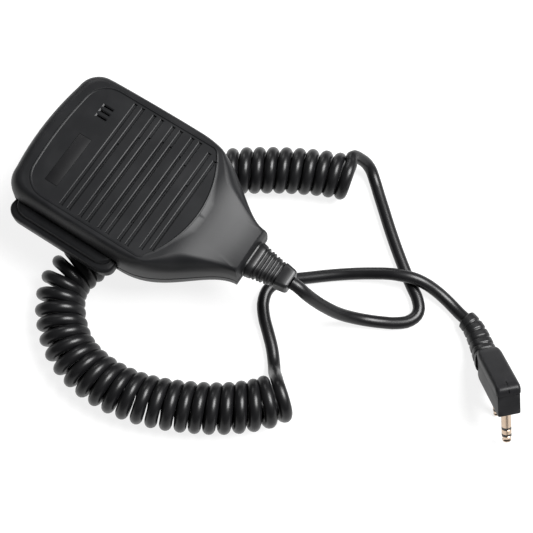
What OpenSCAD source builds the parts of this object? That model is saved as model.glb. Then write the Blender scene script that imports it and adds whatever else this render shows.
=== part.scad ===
// Hand microphone for a two-way radio: a two-part case with a side talk bar, a loudspeaker, a swivel clip,
// a curly cord and a right-angle two-pin plug. It lies face up on its clip.
// Origin: foot of the clip's swivel axis, on the clip's outer face. +Y is the case's wide end, +Z its front.

/* [Case] */
// Width of the case over its parallel sides
case_w = 55.2; // [50:0.2:68]
// Case length from the swivel axis to the wide end
wide_len = 15; // [13:0.5:20]
// Case length from the swivel axis to the neck end
neck_len = 73; // [68:0.5:90]
// Width of the neck end
neck_w = 19.4; // [17:0.2:24]
// Length of the shoulder that narrows to the neck
taper_len = 39; // [30:0.5:48]
// Radius of the two corners at the wide end
corner_r = 9; // [6:0.5:12]
// Rise of the bowed wide end
bow = 1.6; // [0.5:0.1:3]
// Thickness of the case, back to front
case_h = 21.4; // [20:0.2:26]
// Height of the case's back above the clip's outer face
back_z = 18.6; // [18:0.1:24]
// Height of the joint between the shells, above the case's back
split_h = 8.4; // [7:0.1:9]
// Drop of the front face at the neck end
neck_drop = 4; // [1:0.5:6]
// Rise of the back at the neck end
neck_rise = 2; // [0:0.5:3]
// Shell wall
wall = 1.8; // [1.4:0.1:2.2]
// Depth of the inset panel
panel_depth = 0.3; // [0.2:0.05:0.6]
// Border between the case's side and the inset panel
panel_edge = 4.3; // [3.5:0.1:6]

/* [Grille] */
// Number of groove pairs
pairs = 5; // [3:1:5]
// Distance from one pair to the next
pair_pitch = 8; // [7:0.1:9]
// Distance between the two grooves of a pair
pair_gap = 3.2; // [2.6:0.1:3.8]
// Width of a groove
groove_w = 0.9; // [0.6:0.1:1.3]
// Depth of a groove
groove_depth = 0.8; // [0.5:0.1:1.2]
// Half length of the long grooves
groove_half = 22.3; // [18:0.1:22.5]
// Distance from the swivel axis to the first groove
first_groove = 10; // [9:0.5:13]

/* [Loudspeaker] */
// Outer diameter of the loudspeaker
speaker_d = 36; // [30:0.5:38]
// Height of the magnet cup
magnet_h = 3.6; // [3:0.1:4]
// Diameter of the magnet cup
yoke_d = 18; // [16:0.5:20]
// Travel of the cone each way
cone_travel = 0.3; // [0.1:0.05:0.4]

/* [Talk bar] */
// Length of the talk bar
bar_len = 43.5; // [38:0.5:46]
// How far the talk bar stands out of the case's side
bar_out = 5.4; // [3:0.1:6.6]
// Height of the talk bar
bar_h = 7; // [6:0.1:8.4]
// Gap around the talk bar in its slot
bar_gap = 0.35; // [0.3:0.05:0.6]
// Radius of the talk bar's hinge pin
bar_pin_r = 1; // [0.8:0.1:1.2]

/* [Clip] */
// Width of the clip
clip_w = 18; // [15:0.5:20]
// Reach of the clip's jaw from the swivel axis
clip_reach = 28; // [24:0.5:29]
// Sheet thickness of the clip
clip_t = 1.2; // [1:0.1:1.5]
// Radius of the swivel stud's shank
stud_r = 3; // [2.4:0.1:3.6]
// Radius of the jaw's hinge pin
hinge_r = 1; // [0.8:0.1:1.3]

/* [Cord and plug] */
// Diameter of the cord's jacket
cord_d = 4.5; // [3.8:0.1:5.4]
// Length of the strain relief outside the neck
relief_len = 16; // [14:0.5:18]
// Outer diameter of the curled cord at the plug's end
curl_d = 18.4; // [17:0.1:18.6]
// Outer diameter of the curled cord at the case's end
curl_d_first = 17.2; // [16.8:0.1:18.2]
// Length of the plug's housing
plug_l = 24.5; // [22:0.5:28]
// Width of the plug's housing
plug_w = 8.6; // [8:0.1:11]
// Thickness of the plug's housing along its pins
plug_t = 12.2; // [11:0.1:14]
// Distance between the axes of the two pins
pin_pitch = 11; // [10.5:0.1:11.5]
// Length of the large pin
big_pin_l = 14.5; // [14:0.1:16]
// Length of the small pin
small_pin_l = 11.5; // [11:0.1:12.5]

/* [Fits] */
// Running clearance on a radius
run_gap = 0.05; // [0.02:0.01:0.1]
// Gap between pieces that move past each other
air_gap = 0.3; // [0.2:0.05:0.5]
// Gap between pieces seated beside each other
seat_gap = 0.1; // [0.05:0.05:0.2]

/* [Hidden] */
$fn = 48;
eps = 0.01;

// Main places
half_w = case_w / 2;
neck_y = -neck_len;
taper_y = neck_y + taper_len;
split_z = back_z + split_h;
face_z = back_z + case_h;
slope_y = neck_y + taper_len * 0.6;
corner_x = half_w - corner_r;
corner_y = wide_len - bow - corner_r;
roof_z = face_z - wall;

// Smooth step from 0 to 1
function ease(t) = let (c = min(1, max(0, t))) c * c * (3 - 2 * c);
function unit(v) = v / norm(v);
function flip(list) = [for (i = [len(list) - 1 : -1 : 0]) list[i]];
// Half width of the case at a place along it
function half_at(y) =
    let (t = max(0, (taper_y - y) / taper_len))
    neck_w / 2 + (half_w - neck_w / 2) * (1 - ease(pow(t, 1.3)));
// Heights of the front face and of the back at a place along the case
function front_at(y) = face_z - neck_drop * ease((slope_y - y) / (slope_y - neck_y));
function back_at(y) = back_z + neck_rise * ease((slope_y - y) / (slope_y - neck_y));

// Outline of the case: the right side, the corner, the bowed end, and the same mirrored
side_steps = 14;
right_side = concat(
    [for (i = [0 : side_steps]) let (y = neck_y + taper_len * i / side_steps) [half_at(y), y]],
    [for (a = [0 : 15 : 90]) [corner_x + corner_r * cos(a), corner_y + corner_r * sin(a)]],
    [for (k = [2 / 3, 1 / 3]) [corner_x * k, wide_len - bow * k * k]]
);
outline = concat(right_side, [[0, wide_len]], [for (p = flip(right_side)) [-p[0], p[1]]]);

// A point of the outline moved inwards by d, with mitred corners
function inset_point(i, d) =
    let (n = len(outline), b = outline[i],
         u = unit(b - outline[(i + n - 1) % n]), v = unit(outline[(i + 1) % n] - b), m = unit(u + v))
    b + [-m[1], m[0]] * d / max(0.6, m * u);
// A ring of the shell: level 0 is the joint, 1 the outer face, and d the inset
function front_ring(level, d) = [for (i = [0 : len(outline) - 1])
    let (p = inset_point(i, d)) [p[0], p[1], split_z + level * (front_at(p[1]) - split_z)]];
function back_ring(level, d) = [for (i = [0 : len(outline) - 1])
    let (p = inset_point(i, d)) [p[0], p[1], split_z - level * (split_z - back_at(p[1]))]];

// A closed solid through rings that are mirror images left to right; caps are strips across the width
module shell_loft(rings) {
    n = len(rings[0]);
    last = (len(rings) - 1) * n;
    h = floor(n / 2);
    sides = [for (r = [0 : len(rings) - 2], i = [0 : n - 1])
        [r * n + i, r * n + n + i, r * n + n + (i + 1) % n, r * n + (i + 1) % n]];
    floor_strips = [for (i = [0 : h - 1]) i == h - 1 ? [i, i + 1, i + 2] : [i, i + 1, n - 2 - i, n - 1 - i]];
    roof_strips = [for (f = floor_strips) [for (k = flip(f)) k + last]];
    polyhedron(points = [for (r = rings) each r], faces = concat(floor_strips, sides, roof_strips));
}

// A tube swept through points, with a radius at each point
module swept(points, radii, sides) {
    n = len(points);
    rings = [for (i = [0 : n - 1])
        let (t = unit(points[min(n - 1, i + 1)] - points[max(0, i - 1)]),
             s = unit(cross(t, [0, 0, 1])), u = cross(s, t))
        for (k = [0 : sides - 1])
            points[i] + radii[i] * (s * cos(k * 360 / sides) + u * sin(k * 360 / sides))];
    walls = [for (i = [0 : n - 2], k = [0 : sides - 1])
        [i * sides + k, (i + 1) * sides + k, (i + 1) * sides + (k + 1) % sides, i * sides + (k + 1) % sides]];
    polyhedron(points = rings, faces = concat([[for (k = [0 : sides - 1]) k]], walls,
        [[for (k = [sides - 1 : -1 : 0]) (n - 1) * sides + k]]));
}
function same(value, n) = [for (i = [1 : n]) value];

// ---- places of what the shells hold ----
groove_ys = [for (p = [0 : pairs - 1], k = [0, 1]) -first_groove - p * pair_pitch - k * pair_gap];
speaker_y = -first_groove - (pairs - 1) * pair_pitch / 2 - pair_gap / 2;
speaker_r = speaker_d / 2;
open_r = speaker_r - 2;
cloth_t = 0.35;
gasket_t = 0.8;
flange_t = 0.8;
cloth_z = roof_z - cloth_t;
gasket_z = cloth_z - gasket_t;
flange_z = gasket_z - flange_t;
basket_z = flange_z - 5;
yoke_r = yoke_d / 2;
yoke_z = basket_z - magnet_h;
board_t = 1.2;
board_z = yoke_z - 1 - board_t;
boss_r = 2.75;
screw_r = 1.1;
boss_x = half_w - 9;
upper_boss_x = corner_x - 0.2;
boss_places = [[upper_boss_x, corner_y + 3.6], [-upper_boss_x, corner_y + 3.6],
               [boss_x, speaker_y - 13], [-boss_x, speaker_y - 13]];
boss_low_z = back_z + 5.5;
head_r = 2.1;
head_depth = 3;

panel_half = half_w - panel_edge;
panel_top = wide_len - 8;
panel_corner = 9;
panel_foot = -first_groove - (pairs - 1) * pair_pitch - pair_gap - 5.8;
panel_arc_r = 38;
// Outline of the inset panel: the bowed end, round corners, straight sides and the arc towards the neck
panel_right = concat(
    [for (x = [0 : 5 : 20]) [x, panel_foot + panel_arc_r - sqrt(panel_arc_r * panel_arc_r - x * x)]],
    [[panel_half, panel_foot + panel_arc_r - sqrt(panel_arc_r * panel_arc_r - panel_half * panel_half)]],
    [for (a = [0 : 15 : 90]) [panel_half - panel_corner * (1 - cos(a)),
                              panel_top - 0.8 - panel_corner * (1 - sin(a))]],
    [[0, panel_top]]
);
panel_outline = concat(panel_right, [for (i = [len(panel_right) - 2 : -1 : 1])
    [-panel_right[i][0], panel_right[i][1]]]);

mic_at = [half_w - 13.8, -first_groove + 7.3];
port_l = 4.5;
port_w = 0.9;
port_step = 2.15;
label_size = [20.4, 5, 0.25];
label_at = [-7.5, -first_groove + 7.6];

// Talk bar
bar_z = face_z - 8 - bar_h;
bar_top_y = corner_y + 3.9;
bar_low_y = bar_top_y - bar_len;
bar_in = half_w - wall - 0.5;
pivot_x = -half_w + 4.2;
pivot_y = corner_y - 0.4;
lug_r = bar_pin_r + 1;
lug_h = bar_h - 2;
switch_y = pivot_y - 19.5;
switch_x = pivot_x + 2.4;
switch_size = [5.5, 6, 3.6];
plunger_r = 1.3;
plunger_out = 1.4;
plunger_z = board_z + board_t + 2;
bar_mid_z = bar_z + bar_h / 2;
slot_top_z = bar_z + bar_h + bar_gap;
slot_low_z = bar_z - bar_gap;

// Earphone socket and its flap
jack_y = -first_groove + 2;
jack_body = [10.5, 8, 6.8];
jack_z = board_z + board_t + 3.6;
jack_r = 1.8;
jack_nose_r = 2.9;
jack_x = half_w - 3.1;
flap_r = 4.4;
flap_t = 0.8;
flap_plug_r = 2.5;
flap_x = half_w - 0.2 - flap_t;
flap_hinge_r = 0.5;
flap_hinge_l = 4;
flap_hinge_x = half_w - 0.3;
flap_hinge_y = jack_y + flap_r + 0.1;

// Strain relief and cord clamp
relief_z = split_z + 0.9;
relief_root = [13.8, 8.4];
relief_tip = [7.4, 7.2];
throat = [10, 6.4];
flange = [13, 8.2];
cord_r = cord_d / 2;
clamp_y = neck_y + 11;
clamp_span = 6.2;

// Swivel clip; its hinge lies across the clip, behind the swivel axis
plate_top_z = back_z - 1.3;
plate_z = plate_top_z - clip_t;
hinge_x = -9;
hinge_z = 9.5;
ear_t = clip_t;
ear_r = 3;
jaw_w = clip_w - 2 * ear_t - 2 * air_gap;
stud_head_r = 5.4;
stud_head_t = 1.2;
hub_r = 8;

// ---- case ----
front_levels = [[0, 0.3], [0.1, 0], [0.5, 0.3], [0.72, 1.1], [0.86, 2.3], [0.95, 3.7], [1, 5.6]];
front_room = [[-0.1, 0], [0.5, 0.3], [0.7, 1.1], [0.8, 2.3], [1 - wall / (face_z - split_z), 4.2]];
back_levels = [[1, 3.2], [0.85, 1.4], [0.6, 0.4], [0.1, 0], [0, 0.3]];
back_room = [[1 - wall / split_h, 1.7], [0.6, 0.5], [-0.1, 0]];
lip_h = 1.2;
lip_t = wall / 2;

module talk_slot() {
    translate([-half_w - 5, bar_low_y - bar_gap, slot_low_z])
        cube([5 + wall + 1, bar_len + 2 * bar_gap, slot_top_z - slot_low_z]);
}

module neck_throat(gap) {
    translate([-throat[0] / 2 - gap, neck_y - 1, relief_z - throat[1] / 2 - gap])
        cube([throat[0] + 2 * gap, wall + 2, throat[1] + 2 * gap]);
}

// Earphone opening, the bed of its flap and the room for the flap's hinge
module jack_opening() {
    translate([half_w - 5, jack_y, jack_z])
        rotate([0, 90, 0])
            cylinder(r = jack_nose_r + air_gap, h = 10);
    translate([flap_x - seat_gap, jack_y, jack_z])
        rotate([0, 90, 0])
            cylinder(r = flap_r + air_gap, h = 5);
    translate([flap_hinge_x, flap_hinge_y, jack_z - flap_hinge_l / 2 - seat_gap])
        cylinder(r = flap_hinge_r + air_gap, h = flap_hinge_l + 2 * seat_gap);
}

module front_case() {
    color("#2a2b2d")
    difference() {
        union() {
            difference() {
                shell_loft([for (l = front_levels) front_ring(l[0], l[1])]);
                shell_loft([for (l = front_room) front_ring(l[0], l[1] + wall)]);
            }
            for (p = boss_places)
                translate([p[0], p[1], boss_low_z])
                    cylinder(r = boss_r, h = roof_z - boss_low_z + 0.5);
            translate([0, speaker_y, flange_z])
                difference() {
                    cylinder(r = speaker_r + 1.4, h = roof_z - flange_z + 0.5);
                    translate([0, 0, -1])
                        cylinder(r = speaker_r + seat_gap, h = roof_z - flange_z + 1);
                }
            translate([mic_at[0], mic_at[1], roof_z - 2])
                difference() {
                    cylinder(r = 5.4, h = 2.5);
                    translate([0, 0, -1])
                        cylinder(r = 4.3, h = 3);
                }
        }
        // Room for the rear shell's lip
        difference() {
            shell_loft([front_ring(-0.1, lip_t - 0.1), front_ring(lip_h / (face_z - split_z), lip_t - 0.1)]);
            translate([0, 0, -1])
                shell_loft([front_ring(-0.1, 8), front_ring(0.5, 8)]);
        }
        // Screw bores
        for (p = boss_places)
            translate([p[0], p[1], boss_low_z - 1])
                cylinder(r = screw_r, h = 9);
        // Inset panel and its grooves
        translate([0, 0, face_z - panel_depth])
            linear_extrude(5)
                polygon(panel_outline);
        for (i = [0 : len(groove_ys) - 1]) {
            short = max(0, i - 2 * pairs + 3);
            long = groove_half - 1.6 * short;
            translate([-long, groove_ys[i] - groove_w / 2, face_z - panel_depth - groove_depth])
                cube([2 * long, groove_w, 5]);
            reach = open_r * open_r - pow(groove_ys[i] - speaker_y, 2);
            if (reach > 16)
                translate([-sqrt(reach), groove_ys[i] - groove_w / 2, roof_z - 1])
                    cube([2 * sqrt(reach), groove_w, wall + 2]);
        }
        // Microphone ports
        for (k = [-1 : 1])
            translate([mic_at[0] + k * port_step - port_w / 2, mic_at[1] - port_l / 2, roof_z - 1])
                cube([port_w, port_l, wall + 2]);
        // Bed for the label plate
        translate([label_at[0] - label_size[0] / 2 - seat_gap, label_at[1] - label_size[1] / 2 - seat_gap,
                   face_z - panel_depth - label_size[2]])
            cube([label_size[0] + 2 * seat_gap, label_size[1] + 2 * seat_gap, 3]);
        talk_slot();
        jack_opening();
        neck_throat(seat_gap);
        // Hinge pin of the talk bar
        translate([pivot_x, pivot_y, slot_low_z])
            cylinder(r = bar_pin_r, h = slot_top_z - slot_low_z + 2);
    }
    // Post that holds the top of the hinge pin
    color("#2a2b2d")
    translate([pivot_x, pivot_y, slot_top_z])
        difference() {
            cylinder(r = lug_r, h = 2.6);
            translate([0, 0, -1])
                cylinder(r = bar_pin_r, h = 3);
        }
}

module rear_case() {
    color("#242527")
    difference() {
        union() {
            difference() {
                shell_loft([for (l = back_levels) back_ring(l[0], l[1])]);
                shell_loft([for (l = back_room) back_ring(l[0], l[1] + wall)]);
            }
            // Lip that centres the shells
            difference() {
                shell_loft([front_ring(-0.12, lip_t),
                            front_ring((lip_h - seat_gap) / (face_z - split_z), lip_t)]);
                shell_loft([front_ring(-0.2, wall), front_ring(0.3, wall)]);
            }
            for (p = boss_places)
                translate([p[0], p[1], back_z + 1])
                    cylinder(r = boss_r + 0.4, h = boss_low_z - back_z - 1 - seat_gap);
            // Pillar for the swivel stud, and the pad that the clip turns on
            translate([0, 0, back_z - 1])
                cylinder(r = hub_r, h = 1.5);
            translate([0, 0, back_z + 1])
                cylinder(r = stud_r + 2, h = board_z - air_gap - back_z - 1);
            // Post under the talk bar's hinge pin
            translate([pivot_x, pivot_y, back_z + 1])
                cylinder(r = lug_r, h = slot_low_z - back_z - 1);
            // Posts under the cord clamp
            for (s = [-1, 1])
                translate([s * clamp_span, clamp_y, back_at(clamp_y) + 1])
                    cylinder(r = 1.9, h = relief_z - cord_r * 0.6 - back_at(clamp_y) - 1);
        }
        for (p = boss_places) {
            translate([p[0], p[1], back_z - 1])
                cylinder(r = screw_r + 0.3, h = 10);
            translate([p[0], p[1], back_z - 1])
                cylinder(r = head_r + 0.3, h = head_depth + 1);
        }
        translate([0, 0, back_z - 3])
            cylinder(r = stud_r, h = 6.2);
        translate([pivot_x, pivot_y, slot_low_z - 2.5])
            cylinder(r = bar_pin_r, h = 4);
        for (s = [-1, 1])
            translate([s * clamp_span, clamp_y, relief_z - cord_r * 0.6 - 4])
                cylinder(r = 0.8, h = 8);
        talk_slot();
        neck_throat(seat_gap);
        jack_opening();
    }
}

module label_plate() {
    color("#1a1a1b")
    translate([label_at[0] - label_size[0] / 2, label_at[1] - label_size[1] / 2,
               face_z - panel_depth - label_size[2]])
        cube(label_size);
}

module case_screws() {
    color("#8d9094")
    for (p = boss_places)
        translate([p[0], p[1], back_z + head_depth - 1.4])
            difference() {
                union() {
                    cylinder(r = head_r, h = 1.4);
                    cylinder(r = screw_r, h = boss_low_z - back_z - head_depth + 1.4 + 6.5);
                }
                translate([-0.35, -1.4, -1])
                    cube([0.7, 2.8, 1.8]);
                translate([-1.4, -0.35, -1])
                    cube([2.8, 0.7, 1.8]);
            }
}

// ---- loudspeaker ----
module ring_of(r_out, r_in, z, h) {
    translate([0, speaker_y, z])
        difference() {
            cylinder(r = r_out, h = h);
            translate([0, 0, -1])
                cylinder(r = r_in, h = h + 2);
        }
}

module grille_cloth() {
    color("#101011")
    translate([0, speaker_y, cloth_z])
        cylinder(r = speaker_r, h = cloth_t);
}

module speaker_gasket() {
    color("#1b1b1c")
    ring_of(speaker_r, speaker_r - 1.6, gasket_z, gasket_t);
}

module speaker_frame() {
    color("#9fa3a8")
    translate([0, speaker_y, basket_z])
        rotate_extrude()
            polygon([[yoke_r - 2.2, 0], [yoke_r + 0.4, 0], [speaker_r - 2.2, 5 - 0.4], [speaker_r - 1.8, 5],
                     [speaker_r, 5], [speaker_r, 5 + flange_t], [speaker_r - 1.6, 5 + flange_t],
                     [speaker_r - 2.8, 5 + flange_t - 0.4], [speaker_r - 2.8, 5 - 0.1], [yoke_r, 0.8],
                     [yoke_r - 2.2, 0.8]]);
}

module speaker_yoke() {
    color("#75787c")
    translate([0, speaker_y, yoke_z])
        difference() {
            cylinder(r = yoke_r, h = magnet_h);
            translate([0, 0, 0.9])
                cylinder(r = yoke_r - 1.2, h = magnet_h);
        }
}

module speaker_magnet() {
    color("#54565a")
    translate([0, speaker_y, yoke_z + 0.9])
        cylinder(r = yoke_r - 3.4, h = magnet_h - 0.9 - 0.8);
}

module speaker_pole_plate() {
    color("#8a8d91")
    translate([0, speaker_y, yoke_z + magnet_h - 0.8])
        cylinder(r = yoke_r - 2.9, h = 0.8);
}

coil_top_z = yoke_z + magnet_h + 1.4;
coil_h = 3;
cone_foot_z = yoke_z + magnet_h + cone_travel + 0.85;
module voice_coil() {
    color("#b06a34")
    ring_of(yoke_r - 2.35, yoke_r - 2.6, coil_top_z - coil_h, coil_h);
}

module speaker_cone() {
    color("#26231f")
    translate([0, speaker_y, 0])
        rotate_extrude()
            polygon([[yoke_r - 2.35, cone_foot_z], [yoke_r - 2, cone_foot_z],
                     [speaker_r - 3.6, flange_z - 0.1], [speaker_r - 3.6, flange_z + 0.3]]);
}

cap_dome_r = yoke_r - 2.35;
cap_dome_h = 2;
cap_dome_t = 0.3;
module dust_cap() {
    ball_r = (cap_dome_r * cap_dome_r + cap_dome_h * cap_dome_h) / (2 * cap_dome_h);
    color("#1c1a18")
    translate([0, speaker_y, coil_top_z])
        rotate_extrude()
            intersection() {
                translate([0, cap_dome_h - ball_r])
                    difference() {
                        circle(r = ball_r, $fn = 180);
                        circle(r = ball_r - cap_dome_t, $fn = 180);
                    }
                square([cap_dome_r, cap_dome_h + 1]);
            }
}

module speaker_surround() {
    color("#151515")
    translate([0, speaker_y, flange_z + 0.15])
        rotate_extrude()
            difference() {
                translate([speaker_r - 3.2, 0])
                    circle(r = 0.38);
                translate([speaker_r - 3.2, 0])
                    circle(r = 0.2);
            }
}

// ---- microphone, board and wires ----
module mic_boot() {
    color("#141414")
    translate([mic_at[0], mic_at[1], roof_z - 4])
        difference() {
            cylinder(r = 4.2, h = 4);
            translate([0, 0, -1])
                cylinder(r = 3.1, h = 4.2);
            cylinder(r = 2, h = 6);
        }
}

module mic_capsule() {
    color("#b9bcc0")
    translate([mic_at[0], mic_at[1], roof_z - 3.8])
        cylinder(r = 3.1, h = 3);
}

board_half = boss_x - boss_r - 0.8;
board_top_y = corner_y + 0.2;
board_low_y = speaker_y - 17;
module circuit_board() {
    color("#1f5a33")
    difference() {
        translate([-board_half, board_low_y, board_z])
            cube([2 * board_half, board_top_y - board_low_y, board_t]);
        for (p = [[-board_half + 3, board_low_y + 3], [board_half - 3, board_low_y + 3]])
            translate([p[0], p[1], board_z - 1])
                cylinder(r = 1, h = 4);
    }
}

module board_parts() {
    color("#26272a")
    translate([0, 0, board_z + board_t]) {
        translate([-6, board_low_y + 2, 0])
            cube([5, 4, 0.8]);
        translate([1, board_low_y + 2.4, 0])
            cube([2, 1.2, 0.8]);
        translate([4.4, board_low_y + 2.4, 0])
            cube([2, 1.2, 0.8]);
        translate([-8, board_top_y - 6, 0])
            cylinder(r = 2, h = 5);
        translate([-2.5, board_top_y - 6, 0])
            cylinder(r = 2, h = 5);
        translate([2, board_top_y - 4, 0])
            cube([3, 2, 1.4]);
    }
}

module ptt_switch() {
    color("#3a3c40")
    difference() {
        translate([switch_x, switch_y - switch_size[1] / 2, board_z + board_t])
            cube(switch_size);
        translate([switch_x - 1, switch_y, plunger_z])
            rotate([0, 90, 0])
                cylinder(r = plunger_r + run_gap, h = 4.2);
    }
}

module ptt_plunger() {
    color("#e8e2d0")
    translate([switch_x - plunger_out, switch_y, plunger_z])
        rotate([0, 90, 0])
            cylinder(r = plunger_r, h = plunger_out + 2.4);
}

// Talk bar, hinged at its wide-end corner
module ptt_button() {
    out_x = -half_w - bar_out;
    in_x = -bar_in;
    color("#1d1e20")
    difference() {
        union() {
            translate([0, 0, bar_z])
                linear_extrude(bar_h)
                    polygon([[in_x, bar_low_y + 0.4], [out_x + 3.4, bar_low_y], [out_x + 1, bar_low_y + 2],
                             [out_x, bar_low_y + 6], [out_x, bar_top_y - 5], [out_x + 1.4, bar_top_y - 1.6],
                             [out_x + 4, bar_top_y], [in_x, bar_top_y - 2]]);
            translate([pivot_x, pivot_y, bar_mid_z - lug_h / 2])
                cylinder(r = lug_r, h = lug_h);
            translate([in_x - 0.5, pivot_y - lug_r, bar_mid_z - lug_h / 2])
                cube([pivot_x - in_x + 0.5, 2 * lug_r, lug_h]);
            // Finger that works the switch
            translate([in_x - 0.5, switch_y - 1.5, plunger_z - 1.5])
                cube([switch_x - plunger_out - air_gap - in_x + 0.5, 3, 3]);
            // Hook that keeps the free end in its slot
            translate([-half_w + wall + air_gap, bar_low_y - 1.6, bar_mid_z - 1.5])
                cube([1.6, 4, 3]);
        }
        translate([pivot_x, pivot_y, bar_z - 1])
            cylinder(r = bar_pin_r + run_gap, h = bar_h + 2);
    }
}

module ptt_pin() {
    color("#a9adb2")
    translate([pivot_x, pivot_y, slot_low_z - 2.2])
        cylinder(r = bar_pin_r, h = slot_top_z - slot_low_z + 4);
}

module earphone_jack() {
    color("#2f3134")
    difference() {
        union() {
            translate([jack_x - jack_body[0], jack_y - jack_body[1] / 2, board_z + board_t])
                cube(jack_body);
            translate([jack_x - 1, jack_y, jack_z])
                rotate([0, 90, 0])
                    cylinder(r = jack_nose_r, h = 1.9);
        }
        translate([jack_x - jack_body[0] - 1, jack_y, jack_z])
            rotate([0, 90, 0])
                cylinder(r = jack_r, h = 20);
    }
}

module jack_cover() {
    color("#161617")
    translate([0, jack_y, jack_z])
        rotate([0, 90, 0]) {
            translate([0, 0, flap_x])
                cylinder(r = flap_r, h = flap_t);
            translate([0, 0, flap_x - 0.9])
                cylinder(r = flap_plug_r, h = 1.2);
        }
    // Moulded hinge along the flap's edge
    color("#161617")
    translate([flap_hinge_x, flap_hinge_y, jack_z - flap_hinge_l / 2])
        cylinder(r = flap_hinge_r, h = flap_hinge_l);
}

module inner_cable() {
    color("#171718")
    translate([0, neck_y + wall + 1.7, relief_z])
        rotate([-90, 0, 0])
            cylinder(r = cord_r, h = clamp_y - neck_y - wall + 1.5);
}

module cord_clamp() {
    color("#b4b7bb")
    difference() {
        translate([-clamp_span - 2, clamp_y - 2, relief_z - cord_r * 0.6])
            cube([2 * clamp_span + 4, 4, cord_r * 1.6 + 1]);
        translate([0, clamp_y - 3, relief_z])
            rotate([-90, 0, 0])
                cylinder(r = cord_r, h = 6);
        for (s = [-1, 1])
            translate([s * clamp_span, clamp_y, relief_z - 5])
                cylinder(r = 0.9, h = 12);
    }
}

module clamp_screws() {
    color("#8d9094")
    for (s = [-1, 1])
        translate([s * clamp_span, clamp_y, relief_z + cord_r + 1]) {
            cylinder(r = 1.6, h = 1);
            translate([0, 0, -cord_r * 1.6 - 4])
                cylinder(r = 0.8, h = cord_r * 1.6 + 4.5);
        }
}

module inner_wires() {
    start = clamp_y + 3.2;
    finish = board_low_y + 1.5;
    run = finish - start;
    top_z = board_z + board_t + 0.35;
    color("#9a3b30")
    for (k = [-1 : 1])
        swept([[k * 0.8, start, relief_z], [k * 1.3, start + run * 0.3, relief_z + 0.8],
               [k * 2, start + run * 0.6, (relief_z + top_z) / 2 + 0.8], [k * 2.6, finish - 1, top_z + 0.3],
               [k * 2.8, finish, top_z]], same(0.35, 5), 8);
}

// ---- strain relief ----
relief_ribs = 6;
// Size of the relief at a place t from its root, 0 to 1
function relief_size(t) = relief_root + (relief_tip - relief_root) * t;
module relief_block(y0, y1, size0, size1) {
    hull() {
        translate([-size0[0] / 2, y0 - eps, relief_z - size0[1] / 2])
            cube([size0[0], eps, size0[1]]);
        translate([-size1[0] / 2, y1, relief_z - size1[1] / 2])
            cube([size1[0], eps, size1[1]]);
    }
}

module strain_relief() {
    collar = 3.2;
    ribs_l = 7.6;
    rib_step = ribs_l / relief_ribs;
    end_y = neck_y - relief_len;
    color("#1c1c1e") {
        translate([-relief_root[0] / 2, neck_y - collar, relief_z - relief_root[1] / 2])
            cube([relief_root[0], collar, relief_root[1]]);
        for (i = [0 : relief_ribs - 1]) {
            s = relief_size((collar + (i + 0.5) * rib_step) / relief_len);
            translate([-s[0] / 2, neck_y - collar - (i + 0.6) * rib_step, relief_z - s[1] / 2])
                cube([s[0], rib_step * 0.6, s[1]]);
        }
        translate([-4.2, end_y + 1, relief_z - 2.9])
            cube([8.4, relief_len - 2, 5.8]);
        relief_block(neck_y - collar - ribs_l, end_y, relief_size(0.65), relief_tip);
        translate([-throat[0] / 2, neck_y - eps, relief_z - throat[1] / 2])
            cube([throat[0], wall + 0.4, throat[1]]);
        translate([-flange[0] / 2 + 1, neck_y + wall + 0.3, relief_z - flange[1] / 2 + 0.6])
            cube([flange[0] - 2, 1.4, flange[1] - 1.2]);
    }
}

// ---- swivel clip ----
module swivel_stud() {
    color("#a58a52")
    union() {
        translate([0, 0, plate_z - air_gap])
            cylinder(r = stud_r, h = back_z + 3 - plate_z + air_gap);
        translate([0, 0, plate_z - air_gap - stud_head_t])
            cylinder(r = stud_head_r, h = stud_head_t);
    }
}

module swivel_washer() {
    color("#b7babd")
    translate([0, 0, plate_top_z + 0.1])
        difference() {
            cylinder(r = hub_r - 1, h = back_z - 1 - plate_top_z - 0.1);
            translate([0, 0, -1])
                cylinder(r = stud_r + run_gap, h = 4);
        }
}

module clip_plate() {
    color("#8f9296")
    difference() {
        union() {
            translate([hinge_x - 2, -clip_w / 2, plate_z])
                cube([clip_reach - hinge_x + 2, clip_w, clip_t]);
            for (s = [-1, 1])
                translate([0, s * (clip_w / 2 - ear_t / 2), 0]) {
                    translate([hinge_x, ear_t / 2, hinge_z])
                        rotate([90, 0, 0])
                            cylinder(r = ear_r, h = ear_t);
                    translate([hinge_x - ear_r, -ear_t / 2, hinge_z])
                        cube([2 * ear_r, ear_t, plate_z - hinge_z + 0.5]);
                }
        }
        translate([0, 0, plate_z - 1])
            cylinder(r = stud_r + run_gap, h = clip_t + 2);
        translate([hinge_x, clip_w, hinge_z])
            rotate([90, 0, 0])
                cylinder(r = hinge_r, h = 2 * clip_w);
    }
}

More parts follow.
